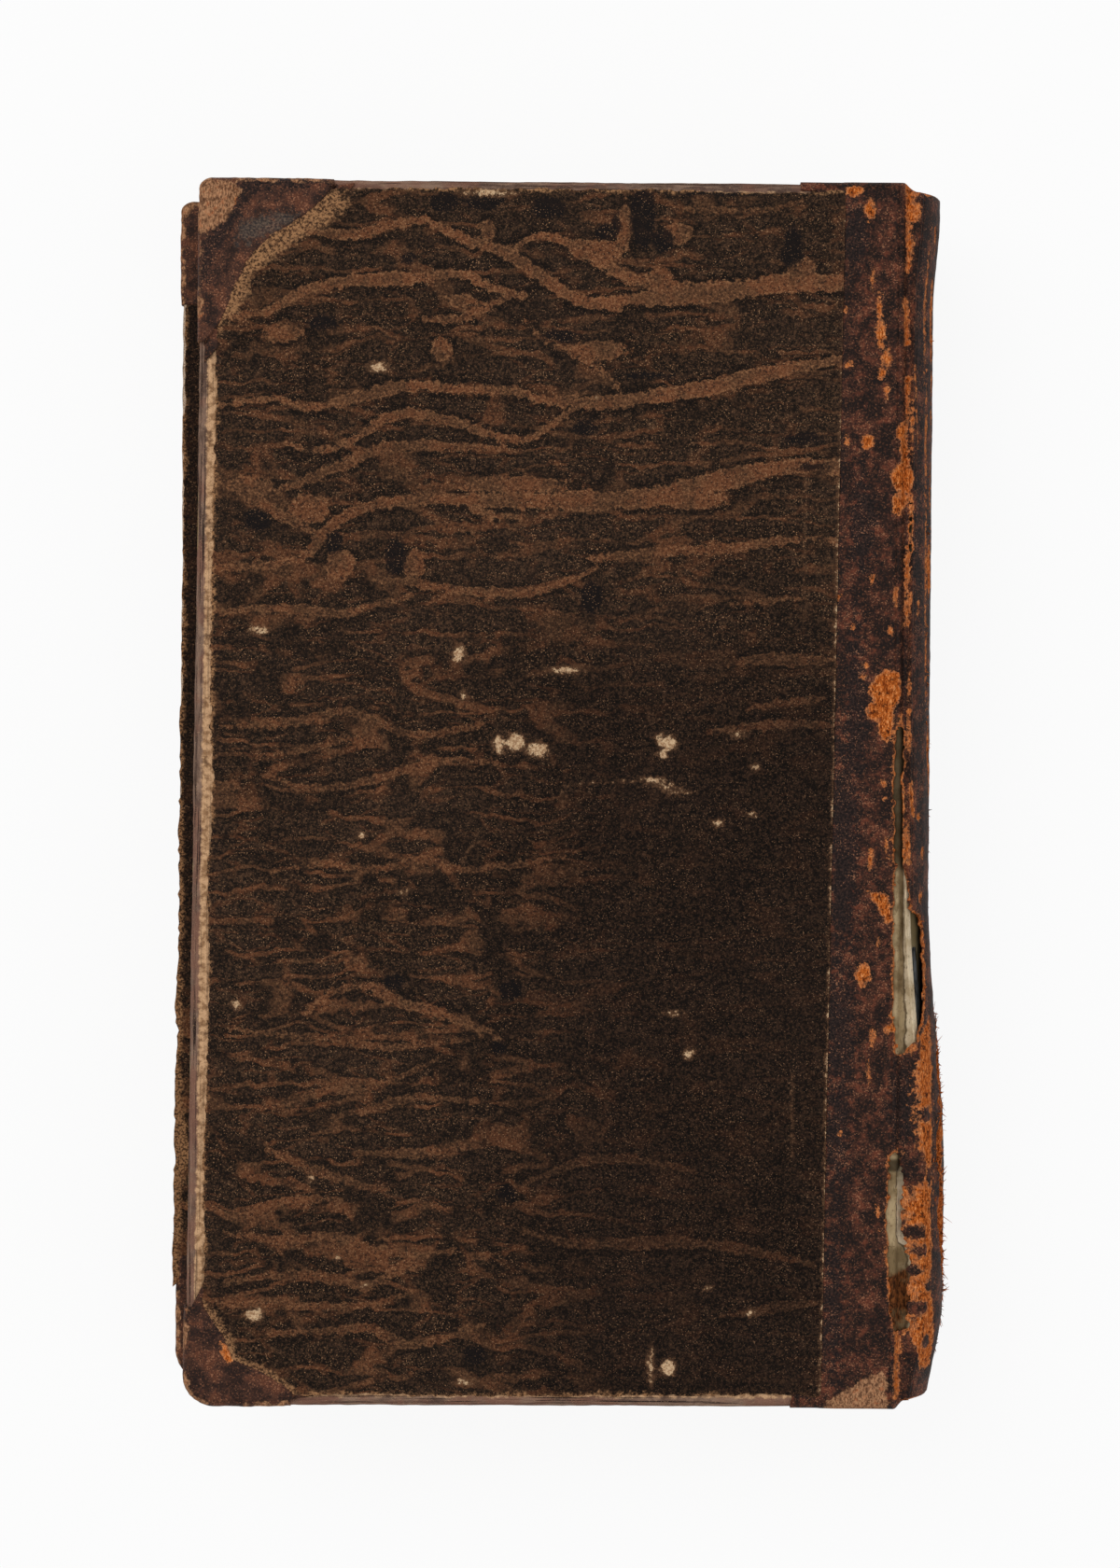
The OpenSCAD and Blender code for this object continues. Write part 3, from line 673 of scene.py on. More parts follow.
# ---------------------------------------------------------------- the decorated paper sides
# Veins as the photo shows them: half width in pixels, strength, and the line's pixels
VEINS = [
    (7, 0.95, [(249, 339), (295, 331), (318, 313), (367, 299), (438, 299), (496, 290), (524, 308), (562, 316)]),
    (7, 0.8, [(332, 247), (381, 253), (418, 239), (455, 236)]),
    (7, 0.95, [(455, 236), (496, 256), (547, 270), (590, 304), (620, 323), (662, 329)]),
    (8, 1.0, [(640, 322), (704, 320), (770, 317), (830, 306), (899, 308)]),
    (9, 1.0, [(700, 311), (770, 312), (850, 300), (905, 300)]),
    (6, 1.0, [(550, 265), (582, 247), (632, 272), (668, 296), (704, 305), (740, 303)]),
    (5, 0.8, [(455, 342), (490, 342), (520, 330), (545, 316)]),
    (6, 0.9, [(229, 437), (295, 423), (329, 440), (381, 425), (438, 411), (496, 417), (559, 420), (588, 431),
              (619, 425)]),
    (5, 0.85, [(306, 474), (338, 486), (375, 474), (424, 440), (467, 446), (513, 460), (550, 474), (582, 463),
               (620, 434)]),
    (9, 1.0, [(600, 430), (640, 432), (680, 428), (740, 419), (815, 401), (860, 392), (905, 386)]),
    (6, 0.7, [(295, 526), (364, 500), (410, 477), (467, 477), (539, 480)]),
    (6, 0.75, [(229, 609), (324, 603), (341, 578), (367, 552), (410, 537), (490, 532), (524, 555), (560, 552)]),
    (12, 0.85, [(500, 536), (619, 537), (710, 533), (770, 515), (845, 497), (905, 500)]),
    (6, 0.7, [(229, 512), (275, 535), (318, 563), (345, 575)]),
    (4, 0.8, [(560, 341), (584, 365), (629, 386), (656, 407), (668, 424)]),
    (6, 0.65, [(632, 599), (695, 590), (770, 590), (860, 575), (900, 580)]),
    (4, 0.5, [(728, 224), (815, 227), (860, 215)]),
    (5, 0.6, [(230, 656), (297, 650), (374, 659), (400, 647), (444, 638)]),
    (5, 0.65, [(400, 622), (429, 621), (488, 632), (561, 638), (599, 626), (640, 608)]),
    (5, 0.55, [(239, 779), (327, 773), (371, 758), (409, 776), (444, 791), (517, 776)]),
    (4, 0.5, [(277, 811), (341, 799), (385, 788)]),
    (5, 0.6, [(283, 832), (344, 849), (415, 832), (459, 814), (532, 817)]),
    (4, 0.6, [(291, 934), (344, 923), (403, 934), (459, 917), (488, 934), (547, 928), (620, 914)]),
    (3, 0.4, [(297, 1031), (385, 1028)]),
    (3, 0.5, [(785, 648), (860, 639)]),
    (6, 0.6, [(780, 712), (810, 706), (895, 708)]),
    (4, 0.5, [(800, 759), (884, 747)]),
    (5, 0.55, [(760, 784), (820, 776), (890, 777)]),
    (6, 0.7, [(327, 1086), (351, 1064), (394, 1052), (425, 1074), (471, 1086), (517, 1101), (538, 1116)]),
    (4, 0.55, [(241, 1101), (302, 1110), (364, 1113), (425, 1126), (517, 1110)]),
    (4, 0.5, [(333, 1169), (379, 1172), (425, 1156), (471, 1135)]),
    (5, 0.5, [(348, 1199), (394, 1190), (440, 1175), (517, 1181)]),
    (5, 0.55, [(287, 1233), (327, 1251), (364, 1264), (413, 1276)]),
    (5, 0.5, [(379, 1236), (456, 1236), (511, 1230)]),
    (4, 0.5, [(250, 1306), (302, 1285), (364, 1285)]),
    (5, 0.55, [(241, 1322), (302, 1331), (364, 1322), (394, 1340), (440, 1346), (486, 1340)]),
    (5, 0.6, [(241, 1374), (302, 1365), (364, 1371), (391, 1383), (413, 1365), (456, 1358)]),
    (5, 0.6, [(235, 1398), (302, 1398), (394, 1401), (440, 1386)]),
    (5, 0.6, [(287, 1429), (364, 1426), (394, 1420), (440, 1447), (486, 1429), (517, 1420)]),
    (5, 0.4, [(560, 1270), (637, 1236), (744, 1254)]),
    (6, 0.45, [(560, 1319), (621, 1337), (744, 1328), (872, 1355)]),
    (5, 0.35, [(774, 1410), (836, 1401), (875, 1395)])]
# Near-black blots and brown ones: middle, half width and half height in pixels
BLOTS = [
    ((689, 230), 15, 36), ((710, 257), 13, 14), ((650, 248), 12, 10), ((849, 273), 14, 14), ((588, 222), 20, 13),
    ((476, 216), 16, 12), ((519, 214), 24, 12), ((438, 276), 8, 8), ((626, 458), 14, 10), ((275, 557), 15, 13),
    ((358, 580), 10, 13), ((422, 1052), 12, 10), ((547, 1061), 13, 12), ((535, 1123), 9, 9), ((544, 1279), 12, 10),
    ((508, 1453), 14, 10), ((424, 596), 12, 22), ((633, 640), 12, 20), ((850, 255), 10, 16), ((870, 500), 22, 5),
    ((660, 240), 6, 12), ((345, 345), 18, 9), ((600, 360), 22, 8), ((760, 205), 60, 5), ((700, 402), 40, 4),
    ((860, 470), 30, 7)]
BROWNS = [
    ((496, 322), 16, 8), ((522, 247), 9, 12), ((303, 357), 22, 9), ((473, 374), 11, 13), ((670, 240), 9, 22),
    ((640, 268), 30, 12), ((708, 300), 14, 14), ((725, 250), 16, 12), ((640, 375), 34, 10), ((365, 605), 16, 16),
    ((444, 604), 12, 16), ((330, 545), 22, 16), ((270, 520), 24, 10), ((860, 286), 16, 10), ((550, 520), 60, 10),
    ((740, 535), 40, 10)]
# Bare cream places where the paper's face has flaked off
LOSSES = [
    ((492, 700), 6, 8), ((489, 705), 4, 5), ((497, 744), 3, 4), ((535, 798), 6, 9), ((553, 795), 10, 9),
    ((576, 803), 11, 8), ((606, 718), 13, 3), ((277, 675), 8, 3.5), ((706, 790), 5, 4), ((716, 796), 9, 7),
    ((710, 808), 5, 5), ((700, 836), 9, 2.4), ((712, 842), 8, 2.2), ((724, 848), 7, 2.0), ((809, 822), 4, 3),
    ((791, 787), 6, 2.5), ((770, 882), 5, 2.6), ((807, 873), 3.5, 2.6), ((387, 895), 4, 2.4), ((431, 955), 4, 2),
    ((253, 1077), 5, 4), ((332, 1263), 3, 3), ((272, 1409), 9, 7), ((361, 1348), 3, 3), ((391, 1377), 3.5, 2.5),
    ((497, 1481), 9, 2.6), ((738, 1129), 5, 5), ((719, 1086), 6, 1.8), ((805, 1407), 4, 3), ((759, 1380), 3, 2.5),
    ((697, 1464), 3, 14), ((716, 1466), 8, 9), ((405, 393), 9, 5), ((524, 206), 19, 4), ((640, 425), 1.6, 1.6),
    ((698, 456), 2, 2)]
SCRATCHES = [
    [(239, 578), (256, 600), (274, 637)], [(412, 773), (411, 790), (415, 811)], [(409, 861), (402, 880), (400, 896)],
    [(513, 902), (500, 912), (494, 931)], [(607, 842), (640, 838), (684, 836)], [(863, 508), (862, 590), (863, 660)],
    [(849, 1150), (849, 1239)], [(602, 842), (602, 868)], [(690, 832), (706, 841), (730, 850)]]
# The speckled band along the upper head corner, and the lower board's rubbed turn-in at the fore edge
RUBBED_LINE = [(352, 215), (300, 252), (262, 282), (252, 300), (240, 330)]
RUBBED_FLAP = [(194, 1202), (200, 1200), (203, 1226), (201, 1264), (196, 1266), (192, 1238)]


def paper_marks(side, x, y):
    """The paper's fields: veins, blots, losses, wear, and how much painted shade darkens each part."""
    if side == "front":
        x, y = -BOARD_W - 9 - x, -y
    best, force = np.full(x.shape, 1e3), np.zeros(x.shape)
    swell = ripple(x, y, 5, 11) * 0.25 + 1
    for half, strength, line in VEINS:
        d, along = line_distance(x, y, eased(from_photo(line)))
        w = half * MM_PER_PX * (0.45 + 0.55 * np.sin(np.pi * np.clip(along, 0.07, 0.93))) * swell
        closer = d - w < best
        best = np.where(closer, d - w, best)
        force = np.where(closer, strength, force)

    def spots(table):
        return [(from_photo(at), a * MM_PER_PX, b * MM_PER_PX) for at, a, b in table]

    brown = spots_distance(x, y, spots(BROWNS))
    force = np.where(brown < best, 0.8, force)
    best = np.minimum(best, brown)
    loss = spots_distance(x, y, spots(LOSSES)) if side == "back" else np.full(x.shape, 9.0)
    if side == "back":
        for line in SCRATCHES:
            loss = np.minimum(loss, line_distance(x, y, from_photo(line))[0] + 0.16)
    px_x, px_y = (x + 110) / MM_PER_PX + 205, PHOTO_H / 2 - y / MM_PER_PX
    left = 1 - smooth((px_x - 480) / 260)
    low = smooth((px_y - 560) / 200)
    streak = 0.16 + 0.64 * left * low + 0.4 * (1 - low)
    # painted shade: the paper darkened towards the spine edge and the tail (on the front cover towards the opposite
    # corner), and a little everywhere below its head end
    dim = np.clip(0.8 * smooth((px_x - 430) / 240) * smooth((px_y - 560) / 260) + 0.15 * low, 0, 1)
    return {"vein": best, "vein_force": force, "blot": spots_distance(x, y, spots(BLOTS)), "loss": loss,
            "streak": np.clip(streak, 0, 1), "dim": dim}


def unworn(side, x, y):
    """How far inside the line where the paper has worn off a place lies."""
    _, head, tail, fore = board_inset(side, x, y)
    return np.minimum.reduce([fore - WORN_FORE, head - WORN_HEAD, tail - WORN_TAIL])


def paper_rim(side):
    """Field that is above 0 where the paper is left, its worn edges ragged."""
    patches = corner_patches(side)

    def field(x, y):
        fray = ripple(x, y, 1.1, 21) * 0.22 + ripple(x, y, 0.45, 22) * 0.16 + ripple(x, y, (9, 14), 23) * 0.35
        kept = unworn(side, x, y) + fray
        trim = ripple(x, y, 3, 24) * 0.05
        for patch in patches.values():
            kept = np.minimum(kept, patch_distance(x, y, patch) + fray * 0.8)
        return np.minimum(kept, -strip_w(y) - x + trim)

    return field


def paper_depth(side, x, y):
    """The paper's height: raised over the leather's hidden edges, curled a little at its own cut edge."""
    patches = corner_patches(side)
    beyond = np.minimum.reduce([-strip_w(y) - x] + [patch_distance(x, y, p) for p in patches.values()])
    thin = np.exp(-np.maximum(unworn(side, x, y), 0) / 0.9)
    raised = 1 - smooth((beyond - OVERLAP + 0.5) / 1.0)
    return (LEATHER_T - PAPER_T - PARED_T * raised - 0.16 * np.exp(-np.maximum(beyond, 0) / 0.5) * (1 - thin)
            + 0.14 * thin + 0.03 * ripple(x, y, 7, 31) + 0.012 * ripple(x, y, 0.9, 32))


def turn_in_band(out_of):
    """A flat band on the cover's inner face, from the board's edge to the turn-ins' end, round its three sides."""
    points = [(0.2, HALF_H), (-BOARD_W, HALF_H), (-BOARD_W - FORE_DRIFT, -HALF_H - TAIL_DRIFT), (0.2, -HALF_H)]
    inner = [(0.2, WINDOW_Y), (WINDOW_X, WINDOW_Y), (WINDOW_X, -WINDOW_Y), (0.2, -WINDOW_Y)]
    spans = [max(2, round(math.dist(p, q) / 0.8)) for p, q in zip(points[:-1], points[1:])]
    stops = np.concatenate([[0], np.cumsum(spans)]) / sum(spans)

    def place(u, v):
        ox, oy = (np.interp(u, stops, [p[i] for p in points]) for i in (0, 1))
        ix, iy = (np.interp(u, stops, [p[i] for p in inner]) for i in (0, 1))
        fray = out_of + 0.25 * ripple(ox, oy, 0.9, 41) + 0.3 * ripple(ox, oy, 4, 42)
        corner = np.exp(-np.hypot(ox + 110.5, oy + 95.6) / 3) * 1.6 + np.exp(-np.hypot(ox + 109.5, oy - 95) / 1.5) * 0.4
        length = np.hypot(ix - ox, iy - oy)
        t = v + (1 - v) * (fray + corner) / length
        x, y = ox + (ix - ox) * t, oy + (iy - oy) * t
        return np.stack([x, y, t], -1)

    return sum(spans), place


def make_paper_side(side):
    patches = corner_patches(side)

    def fields(x, y):
        marks = paper_marks(side, x, y)
        _, head, tail, fore = board_inset(side, x, y)
        rub = np.minimum.reduce([
            fore - WORN_FORE, (head - WORN_HEAD) * 1.3, tail - WORN_TAIL,
            (patch_distance(x, y, patches["head"]) - 1.2) * 0.8, (patch_distance(x, y, patches["tail"]) - 0.9) * 0.8])
        if side == "back":
            rub = np.minimum(rub, (line_distance(x, y, from_photo(RUBBED_LINE))[0] - 2.4) * 0.6)
        lip = -strip_w(y) - x
        worn = 0.02 + 0.14 * ripple(x * 0, y, 2.6, 51) + 0.16 * ripple(x, y, 0.6, 52) - 0.25 * smooth((y - 55) / 20)
        marks["loss"] = np.minimum(marks["loss"], lip - worn)
        marks["rub"] = rub
        return marks

    face = cut_sheet(
        (-BOARD_W - 1, -strip_w(95) + 0.4), (-95.4, 94.6), 0.5, paper_rim(side),
        lambda x, y: on_cover(side, x, y, paper_depth(side, x, y)), fields)
    close_below(face, level(side, LEATHER_T - 0.01))

    columns, band = turn_in_band(0.7)
    held = {}

    def lay(u, v):
        p = band(u, v)
        held["x"], held["y"] = p[:, 0], p[:, 1]
        return on_cover(side, p[:, 0], p[:, 1], INNER_Z + 0.22 + 0.03 * ripple(p[:, 0], p[:, 1], 2, 43))

    mesh = new_sheet(columns, 8, lay)
    x, y = held["x"], held["y"]
    marks = paper_marks(side, x, y)
    inset = board_inset(side, x, y)[0]
    marks["loss"], marks["rub"] = np.full(x.shape, 5.0), inset - 0.5
    if side == "front":
        flap = patch_distance(x, y, from_photo(RUBBED_FLAP, side, BOOK_T - 3.5))
        marks["rub"] = np.minimum(marks["rub"], (flap - 0.1) * 1.5)
    mark(mesh, **marks)
    open_to_view = np.minimum(patch_distance(x, y, patches["head"]), patch_distance(x, y, patches["tail"])) >= -1
    turned = as_shape(mesh, open_to_view & (x <= -strip_w(y) + 1.5))
    close_below(turned, level(side, INNER_Z + 0.01))
    to_piece(side + "_paper_side", joined([face, turned]), PAPER, side + "_cover",
             [side + "_siding_paper"], recalc=True)


for side in ("back", "front"):
    make_paper_side(side)


# ---------------------------------------------------------------- the boards
def board_ring(side, inset):
    """The board's outline drawn in by a distance, always with the same number of places."""
    at_head, at_tail = FORE_EDGE[side]
    radii = [0.6, 0.6, max(0.4, HEAD_R - inset), max(0.4, TAIL_R - inset)]
    moved = [(-max(inset, 0), -95 + inset), (-max(inset, 0), 95 - inset),
             (at_head + inset, 95 - inset), (at_tail + inset, -95.6 + inset)]
    spans = [309, 175, 311, 177]
    ring = []
    for i in range(4):
        here, after, before = (np.array(moved[k % 4]) for k in (i, i + 1, i - 1))
        into, out = (before - here) / math.dist(before, here), (after - here) / math.dist(after, here)
        r = radii[i]
        centre = here + (into + out) * r
        for k in range(8):
            t = math.pi / 2 * k / 7
            ring.append(centre - out * r * math.cos(t) - into * r * math.sin(t))
        start = here + out * r
        end = np.array(after) - out * radii[(i + 1) % 4]
        for k in range(1, spans[i]):
            ring.append(start + (end - start) * k / spans[i])
    return np.array(ring)


def make_board(side):
    turns = [math.radians(d) for d in (15, 30, 45, 60, 75, 90)]
    profile = ([(5.0, 0.7), (4.0, 0.7), (3.2, 0.7), (2.5, 0.7), (1.9, 0.7), (1.4, 0.7), (1.0, 0.7)]
               + [(1 - math.sin(t), 1.7 - math.cos(t)) for t in turns]
               + [(0.0, 1.95), (0.0, 2.2), (0.0, 2.45), (0.0, 2.7), (0.0, 2.9)]
               + [(0.4 - 0.4 * math.cos(t), 2.9 + 0.4 * math.sin(t)) for t in turns[1::2]]
               + [(0.9, 3.3), (1.6, 3.3), (3.0, 3.3), (5.0, 3.3)])
    rings = np.array([np.column_stack([board_ring(side, i), np.full(1000, d)]) for i, d in profile])
    rings = np.concatenate([rings, rings[:, :1]], 1)
    count = rings.shape[1]

    held = {}

    def lay(u, v):
        j, i = np.rint(u * (count - 1)).astype(int), np.rint(v * (len(profile) - 1)).astype(int)
        x, y, depth = rings[i, j].T
        inset = np.array([p[0] for p in profile])[i]
        held.update(inset=inset, rail=np.where(x < -BOARD_W + 4, 1.0, 0.0),
                    rim=np.where((depth > 2.8) & (inset < 0.5), 0.8, 0.0) * (side == "front"))
        run = np.where(np.abs(x + 110) < np.abs(np.abs(y) - 95), y, x)
        edge = np.exp(-inset / 1.2)
        split = 0.1 * ripple(run, depth, (5, 0.35), 61) + 0.07 * ripple(run, depth, (1.2, 0.5), 62)
        split = split + 0.1 * ripple(run, depth, (14, 9), 63)
        fore = x + BOARD_W + 1 < 4
        out_y = np.where((np.abs(y) > 90) & ~(fore & (np.abs(y) < 93)), np.sign(y), 0.0)
        x = x - fore * (split - 0.06) * edge
        y = y + out_y * (split * 0.6 + 0.14) * edge
        flat = np.where((depth < 1) | (depth > 3.2), 1, 0)
        depth = depth + flat * (0.04 * ripple(x, y, 0.8, 64) + 0.03 * ripple(x, y, 2.5, 65)) + 0.03 * flat
        return on_cover(side, x, y, depth)

    mesh = new_sheet(count - 1, len(profile) - 1, lay)
    mark(mesh, **held)
    shape = as_shape(mesh)
    bmesh.ops.remove_doubles(shape, verts=shape.verts, dist=1e-6)
    rims = [e for e in shape.edges if e.is_boundary]
    for outer in (True, False):
        ring = [e for e in rims
                if e.is_valid and (abs(e.verts[0].co.z / MM - level(side, LEATHER_T)) < 1) == outer]
        bmesh.ops.triangle_fill(shape, edges=ring, use_beauty=False, use_dissolve=False)
    to_piece(side + "_pasteboard", shape, BOARD, side + "_cover", [side + "_board"], recalc=True)


for side in ("back", "front"):
    make_board(side)


# ---------------------------------------------------------------- the leather of back, joints and spine
ARC_HALF = math.asin((MID_Z - SPINE_DROP) / SPINE_R)
SKIN_MIDDLE = GROOVE_W + SPINE_R * ARC_HALF
SKIN_END = 2 * SKIN_MIDDLE
STRIP_END, JOINT_FROM, JOINT_TO = -16.2, -0.9, 2.1  # where the skin begins on a board, and its bending stretch


def shift(z):
    """How far the lean carries a height sideways."""
    return LEAN / 2 * np.sin(np.pi / 2 * np.clip((z - MID_Z) / (MID_Z - COVER_T), -1, 1))


def lifted(y, z):
    along = LIFT * smooth((-14 - y) / 45) * smooth((y + 98.6) / 20) + HEAD_FLARE * smooth((y - 76) / 16)
    return along * smooth((z - MID_Z + 6) / 12)


def skin_section(s, inward=0.0):
    """x and height across the skin: s is x on the boards and in the joints, and runs on round the spine."""
    s = np.asarray(s, float)
    front = s > SKIN_MIDDLE
    t = np.where(front, SKIN_END - s, s)
    angle = ARC_HALF - (t - GROOVE_W) / SPINE_R
    on_arc = t > GROOVE_W
    r = SPINE_R - inward
    dip = 0.95 * smooth((t + 0.35) / 0.8) * (1 - smooth((t - 0.55) / 1.05)) + SPINE_DROP * smooth((t - 0.2) / 1.4)
    x = np.where(on_arc, SPINE_X + r * np.cos(angle), t)
    z = np.where(on_arc, MID_Z + r * np.sin(angle), BOOK_T - dip - inward)
    z = np.where(front, BOOK_T - z, z)
    return x, z


def skin_place(s, y, inward=0.0):
    """A place of the leather's outer face in the shared frame."""
    x, z = skin_section(s, inward)
    on_spine = smooth((np.minimum(s, SKIN_END - s) - 0.2) / 1.6)
    x = x + shift(z) + lifted(y, z) * on_spine
    x, y, z = np.broadcast_arrays(x + MIDDLE_X, y + MIDDLE_Y, z)
    return np.stack([x, y, z], -1) * MM


def skin_from_photo(points):
    """Where on the upper half of the skin the pixels of the photo lie, as s and y."""
    s = np.linspace(-16, 13, 400)
    found = []
    for x, y in from_photo(points):
        place = skin_place(s, y) / MM
        apparent = (place[:, 0] - PHOTO_MIDDLE[0]) * CAMERA_H / (CAMERA_H + BOOK_T - place[:, 2])
        apparent = np.maximum.accumulate(apparent + np.arange(len(s)) * 1e-6)
        found.append((np.interp(x + SPINE_EDGE["back"] - PHOTO_MIDDLE[0], apparent, s), y))
    return np.array(found)


# The joint's torn openings and bare suede patches, as outlines in the photo's pixels
OPENINGS = [
    [(964, 765), (968, 790), (966, 850), (968, 925), (972, 950), (976, 975), (986, 984), (989, 1000), (991, 1050),
     (990, 1085), (985, 1107), (976, 1120), (970, 1131), (960, 1128), (957, 1080), (957, 1000), (959, 930),
     (958, 850), (959, 790)],
    [(953, 1237), (960, 1232), (966, 1240), (969, 1262), (967, 1290), (965, 1310), (971, 1325), (975, 1345),
     (973, 1400), (971, 1426), (958, 1428), (954, 1400), (953, 1380), (950, 1300)],
    [(974, 528), (977, 530), (977, 590), (974, 592)]]
SUEDE = [
    [(951, 716), (964, 721), (966, 743), (958, 762), (958, 786), (950, 798), (941, 786), (940, 772), (929, 770),
     (929, 759), (935, 749), (930, 740), (938, 724)],
    [(929, 954), (951, 957), (957, 986), (951, 991)],
    [(975, 1216), (984, 1229), (980, 1268), (966, 1293), (971, 1316), (978, 1345), (976, 1400), (974, 1440),
        (985, 1470),
     (996, 1468), (1000, 1440), (997, 1380), (1000, 1300), (1001, 1230), (1000, 1180), (998, 1120), (996, 1088),
     (986, 1110), (978, 1150)]]
SUEDE_SPOTS = [
    ((930, 473), 7, 8), ((908, 473), 3, 5), ((965, 464), 6, 8), ((967, 512), 13, 16), ((962, 540), 7, 12),
    ((914, 672), 3, 3), ((954, 677), 3, 4), ((929, 713), 5, 3), ((924, 725), 4, 2), ((946, 840), 4, 4),
    ((948, 856), 3, 2), ((933, 922), 3, 12), ((925, 1045), 8, 14), ((954, 1102), 8, 5), ((915, 205), 10, 6),
    ((932, 224), 6, 12), ((942, 330), 3, 16), ((944, 356), 5, 18), ((950, 384), 6, 10), ((945, 400), 4, 8),
    ((972, 610), 3, 26), ((972, 655), 3, 18), ((974, 735), 2.5, 9), ((975, 792), 3, 13), ((977, 855), 3.5, 16),
    ((972, 905), 4, 20), ((984, 876), 4, 5), ((988, 915), 4, 7), ((986, 962), 4, 6), ((991, 330), 2.5, 60),
    ((992, 470), 2.5, 60), ((992, 600), 2.5, 60), ((992, 700), 2, 40), ((983, 230), 3, 12), ((978, 450), 2, 30),
    ((975, 640), 3, 8), ((984, 650), 2.5, 8), ((900, 1215), 3, 3), ((935, 1110), 3, 12), ((931, 1150), 2, 10),
    ((940, 1300), 2, 12), ((905, 330), 3, 4), ((935, 300), 3, 10), ((950, 420), 3, 8), ((910, 390), 5, 4),
    ((898, 640), 3, 4), ((935, 620), 3, 5), ((960, 640), 3, 10), ((950, 905), 2, 8), ((940, 1010), 2, 6)]
# Lines worn to suede along the joint: half width in pixels, and the line's pixels
WORN_LINES = [
    (4.0, [(974, 199), (976, 240), (975, 262)]), (2.6, [(975, 262), (973, 290)]), (3.2, [(970, 322), (972, 368)]),
    (3.4, [(973, 406), (972, 420)]), (1.6, [(972, 420), (972, 452)]), (4.6, [(968, 456), (969, 500), (967, 540)]),
    (1.2, [(980, 392), (984, 480)]), (2.2, [(974, 760), (974, 800)]), (3.2, [(976, 842), (978, 872)]),
    (2.4, [(971, 905), (975, 925)]), (3.0, [(963, 918), (972, 908)]), (2.8, [(961, 1432), (959, 1498)])]
DARK_LINES = [
    (2.0, [(976, 1140), (976, 1190), (975, 1226)]), (5.0, [(961, 1148), (962, 1184), (960, 1222)]),
    (2.4, [(1000, 1120), (999, 1180), (1000, 1240), (998, 1300), (1000, 1360), (1001, 1420)]),
    (1.6, [(963, 290), (964, 420), (962, 450)]), (3.0, [(982, 240), (983, 330), (984, 440)])]
DARK_SPOTS = [
    ((974, 1251), 7, 20), ((993, 1195), 8, 8), ((981, 1321), 5, 7), ((972, 1362), 4, 5), ((984, 1402), 9, 7),
    ((995, 1379), 6, 6), ((996, 1262), 5, 9), ((990, 1340), 4, 5), ((998, 1130), 3, 12), ((992, 1440), 7, 7)]
STAINS = [
    ((962, 1182), 12, 50), ((956, 1460), 3, 40), ((918, 250), 12, 40), ((925, 560), 14, 50), ((917, 760), 12, 90),
    ((905, 900), 16, 120), ((900, 1100), 16, 70), ((898, 1215), 12, 60), ((893, 1400), 10, 70), ((985, 350), 6, 120),
    ((984, 600), 6, 150), ((984, 860), 6, 90)]
RAW_TAIL = [(885, 1501), (905, 1491), (930, 1476), (949, 1462), (951, 1512), (885, 1514)]
# The spine's worn outermost line, in pixels
RIDGE = [(1003, 240), (999, 300), (998, 420), (996, 560), (994, 700), (994, 800), (997, 960), (1002, 1080),
         (1006, 1150), (1007, 1240), (1009, 1330), (1008, 1420)]


def spots_on_skin(table):
    places = skin_from_photo([at for at, _, _ in table])
    return [(place, a * MM_PER_PX, b * MM_PER_PX) for place, (_, a, b) in zip(places, table)]


OPENING_OUTLINES = [skin_from_photo(outline) for outline in OPENINGS]
SUEDE_OUTLINES = [skin_from_photo(outline) for outline in SUEDE]
SUEDE_PLACES = spots_on_skin(SUEDE_SPOTS)
DARK_PLACES = spots_on_skin(DARK_SPOTS)
STAIN_PLACES = spots_on_skin(STAINS)
WORN_PLACES = [(half * MM_PER_PX, skin_from_photo(line)) for half, line in WORN_LINES]
DARK_RUNS = [(half * MM_PER_PX, skin_from_photo(line)) for half, line in DARK_LINES]
RIDGE_LINE = skin_from_photo(RIDGE)
RAW_OUTLINE = skin_from_photo(RAW_TAIL)


def tear(s, y):
    """Above 0 where the leather is whole, and 0 along the torn openings' ragged edges."""
    d = np.minimum.reduce([patch_distance(s, y, outline) for outline in OPENING_OUTLINES])
    return d + ripple(s, y, (0.8, 1.1), 71) * 0.22 + ripple(s, y, (0.4, 0.5), 72) * 0.14


def skin_fields(s, y):
    suede = np.minimum.reduce([patch_distance(s, y, outline) for outline in SUEDE_OUTLINES])
    suede = np.minimum(suede, spots_distance(s, y, SUEDE_PLACES))
    for half, line in WORN_PLACES:
        suede = np.minimum(suede, line_distance(s, y, line)[0] - half)
    ridge, _ = line_distance(s, y, RIDGE_LINE)
    low = smooth((-14 - y) / 20) * smooth((y + 88) / 6)
    ragged = 0.8 * ripple(s, y, (4, 6), 76) + 0.4 * ripple(s, y, (2, 1.5), 77)
    suede = np.minimum(suede, ridge - 0.45 - 0.9 * low + ragged)
    whole = tear(s, y)
    suede = np.minimum(suede, whole - 0.25)
    suede = np.maximum(suede, -spots_distance(s, y, DARK_PLACES))
    for half, line in DARK_RUNS:
        suede = np.maximum(suede, half - line_distance(s, y, line)[0])
    mirrored = SKIN_END - s
    plain = np.minimum(np.abs(mirrored - 0.4) - 0.3, np.abs(mirrored - 14) - 0.2)
    plain = plain + 0.5 * ripple(s, y, (2, 14), 73) + 0.5
    suede = np.where(s > SKIN_MIDDLE - 1, plain, suede)
    ends = np.minimum(CAP_Y - y, y + CAP_Y)
    on_spine = (s > 1.0) & (mirrored > 1.0)
    suede = np.where(on_spine, np.minimum(suede, ends - 0.6 + 0.8 * ripple(s, y, (3, 3), 74)), suede)
    stain = np.where(s < SKIN_MIDDLE, spots_distance(s, y, STAIN_PLACES), ripple(s, y, (9, 20), 75) * 4)
    raw = patch_distance(s, y, RAW_OUTLINE)
    return {"suede": suede, "stain": stain, "raw": raw, "rest": skin_place(s, y) / MM}


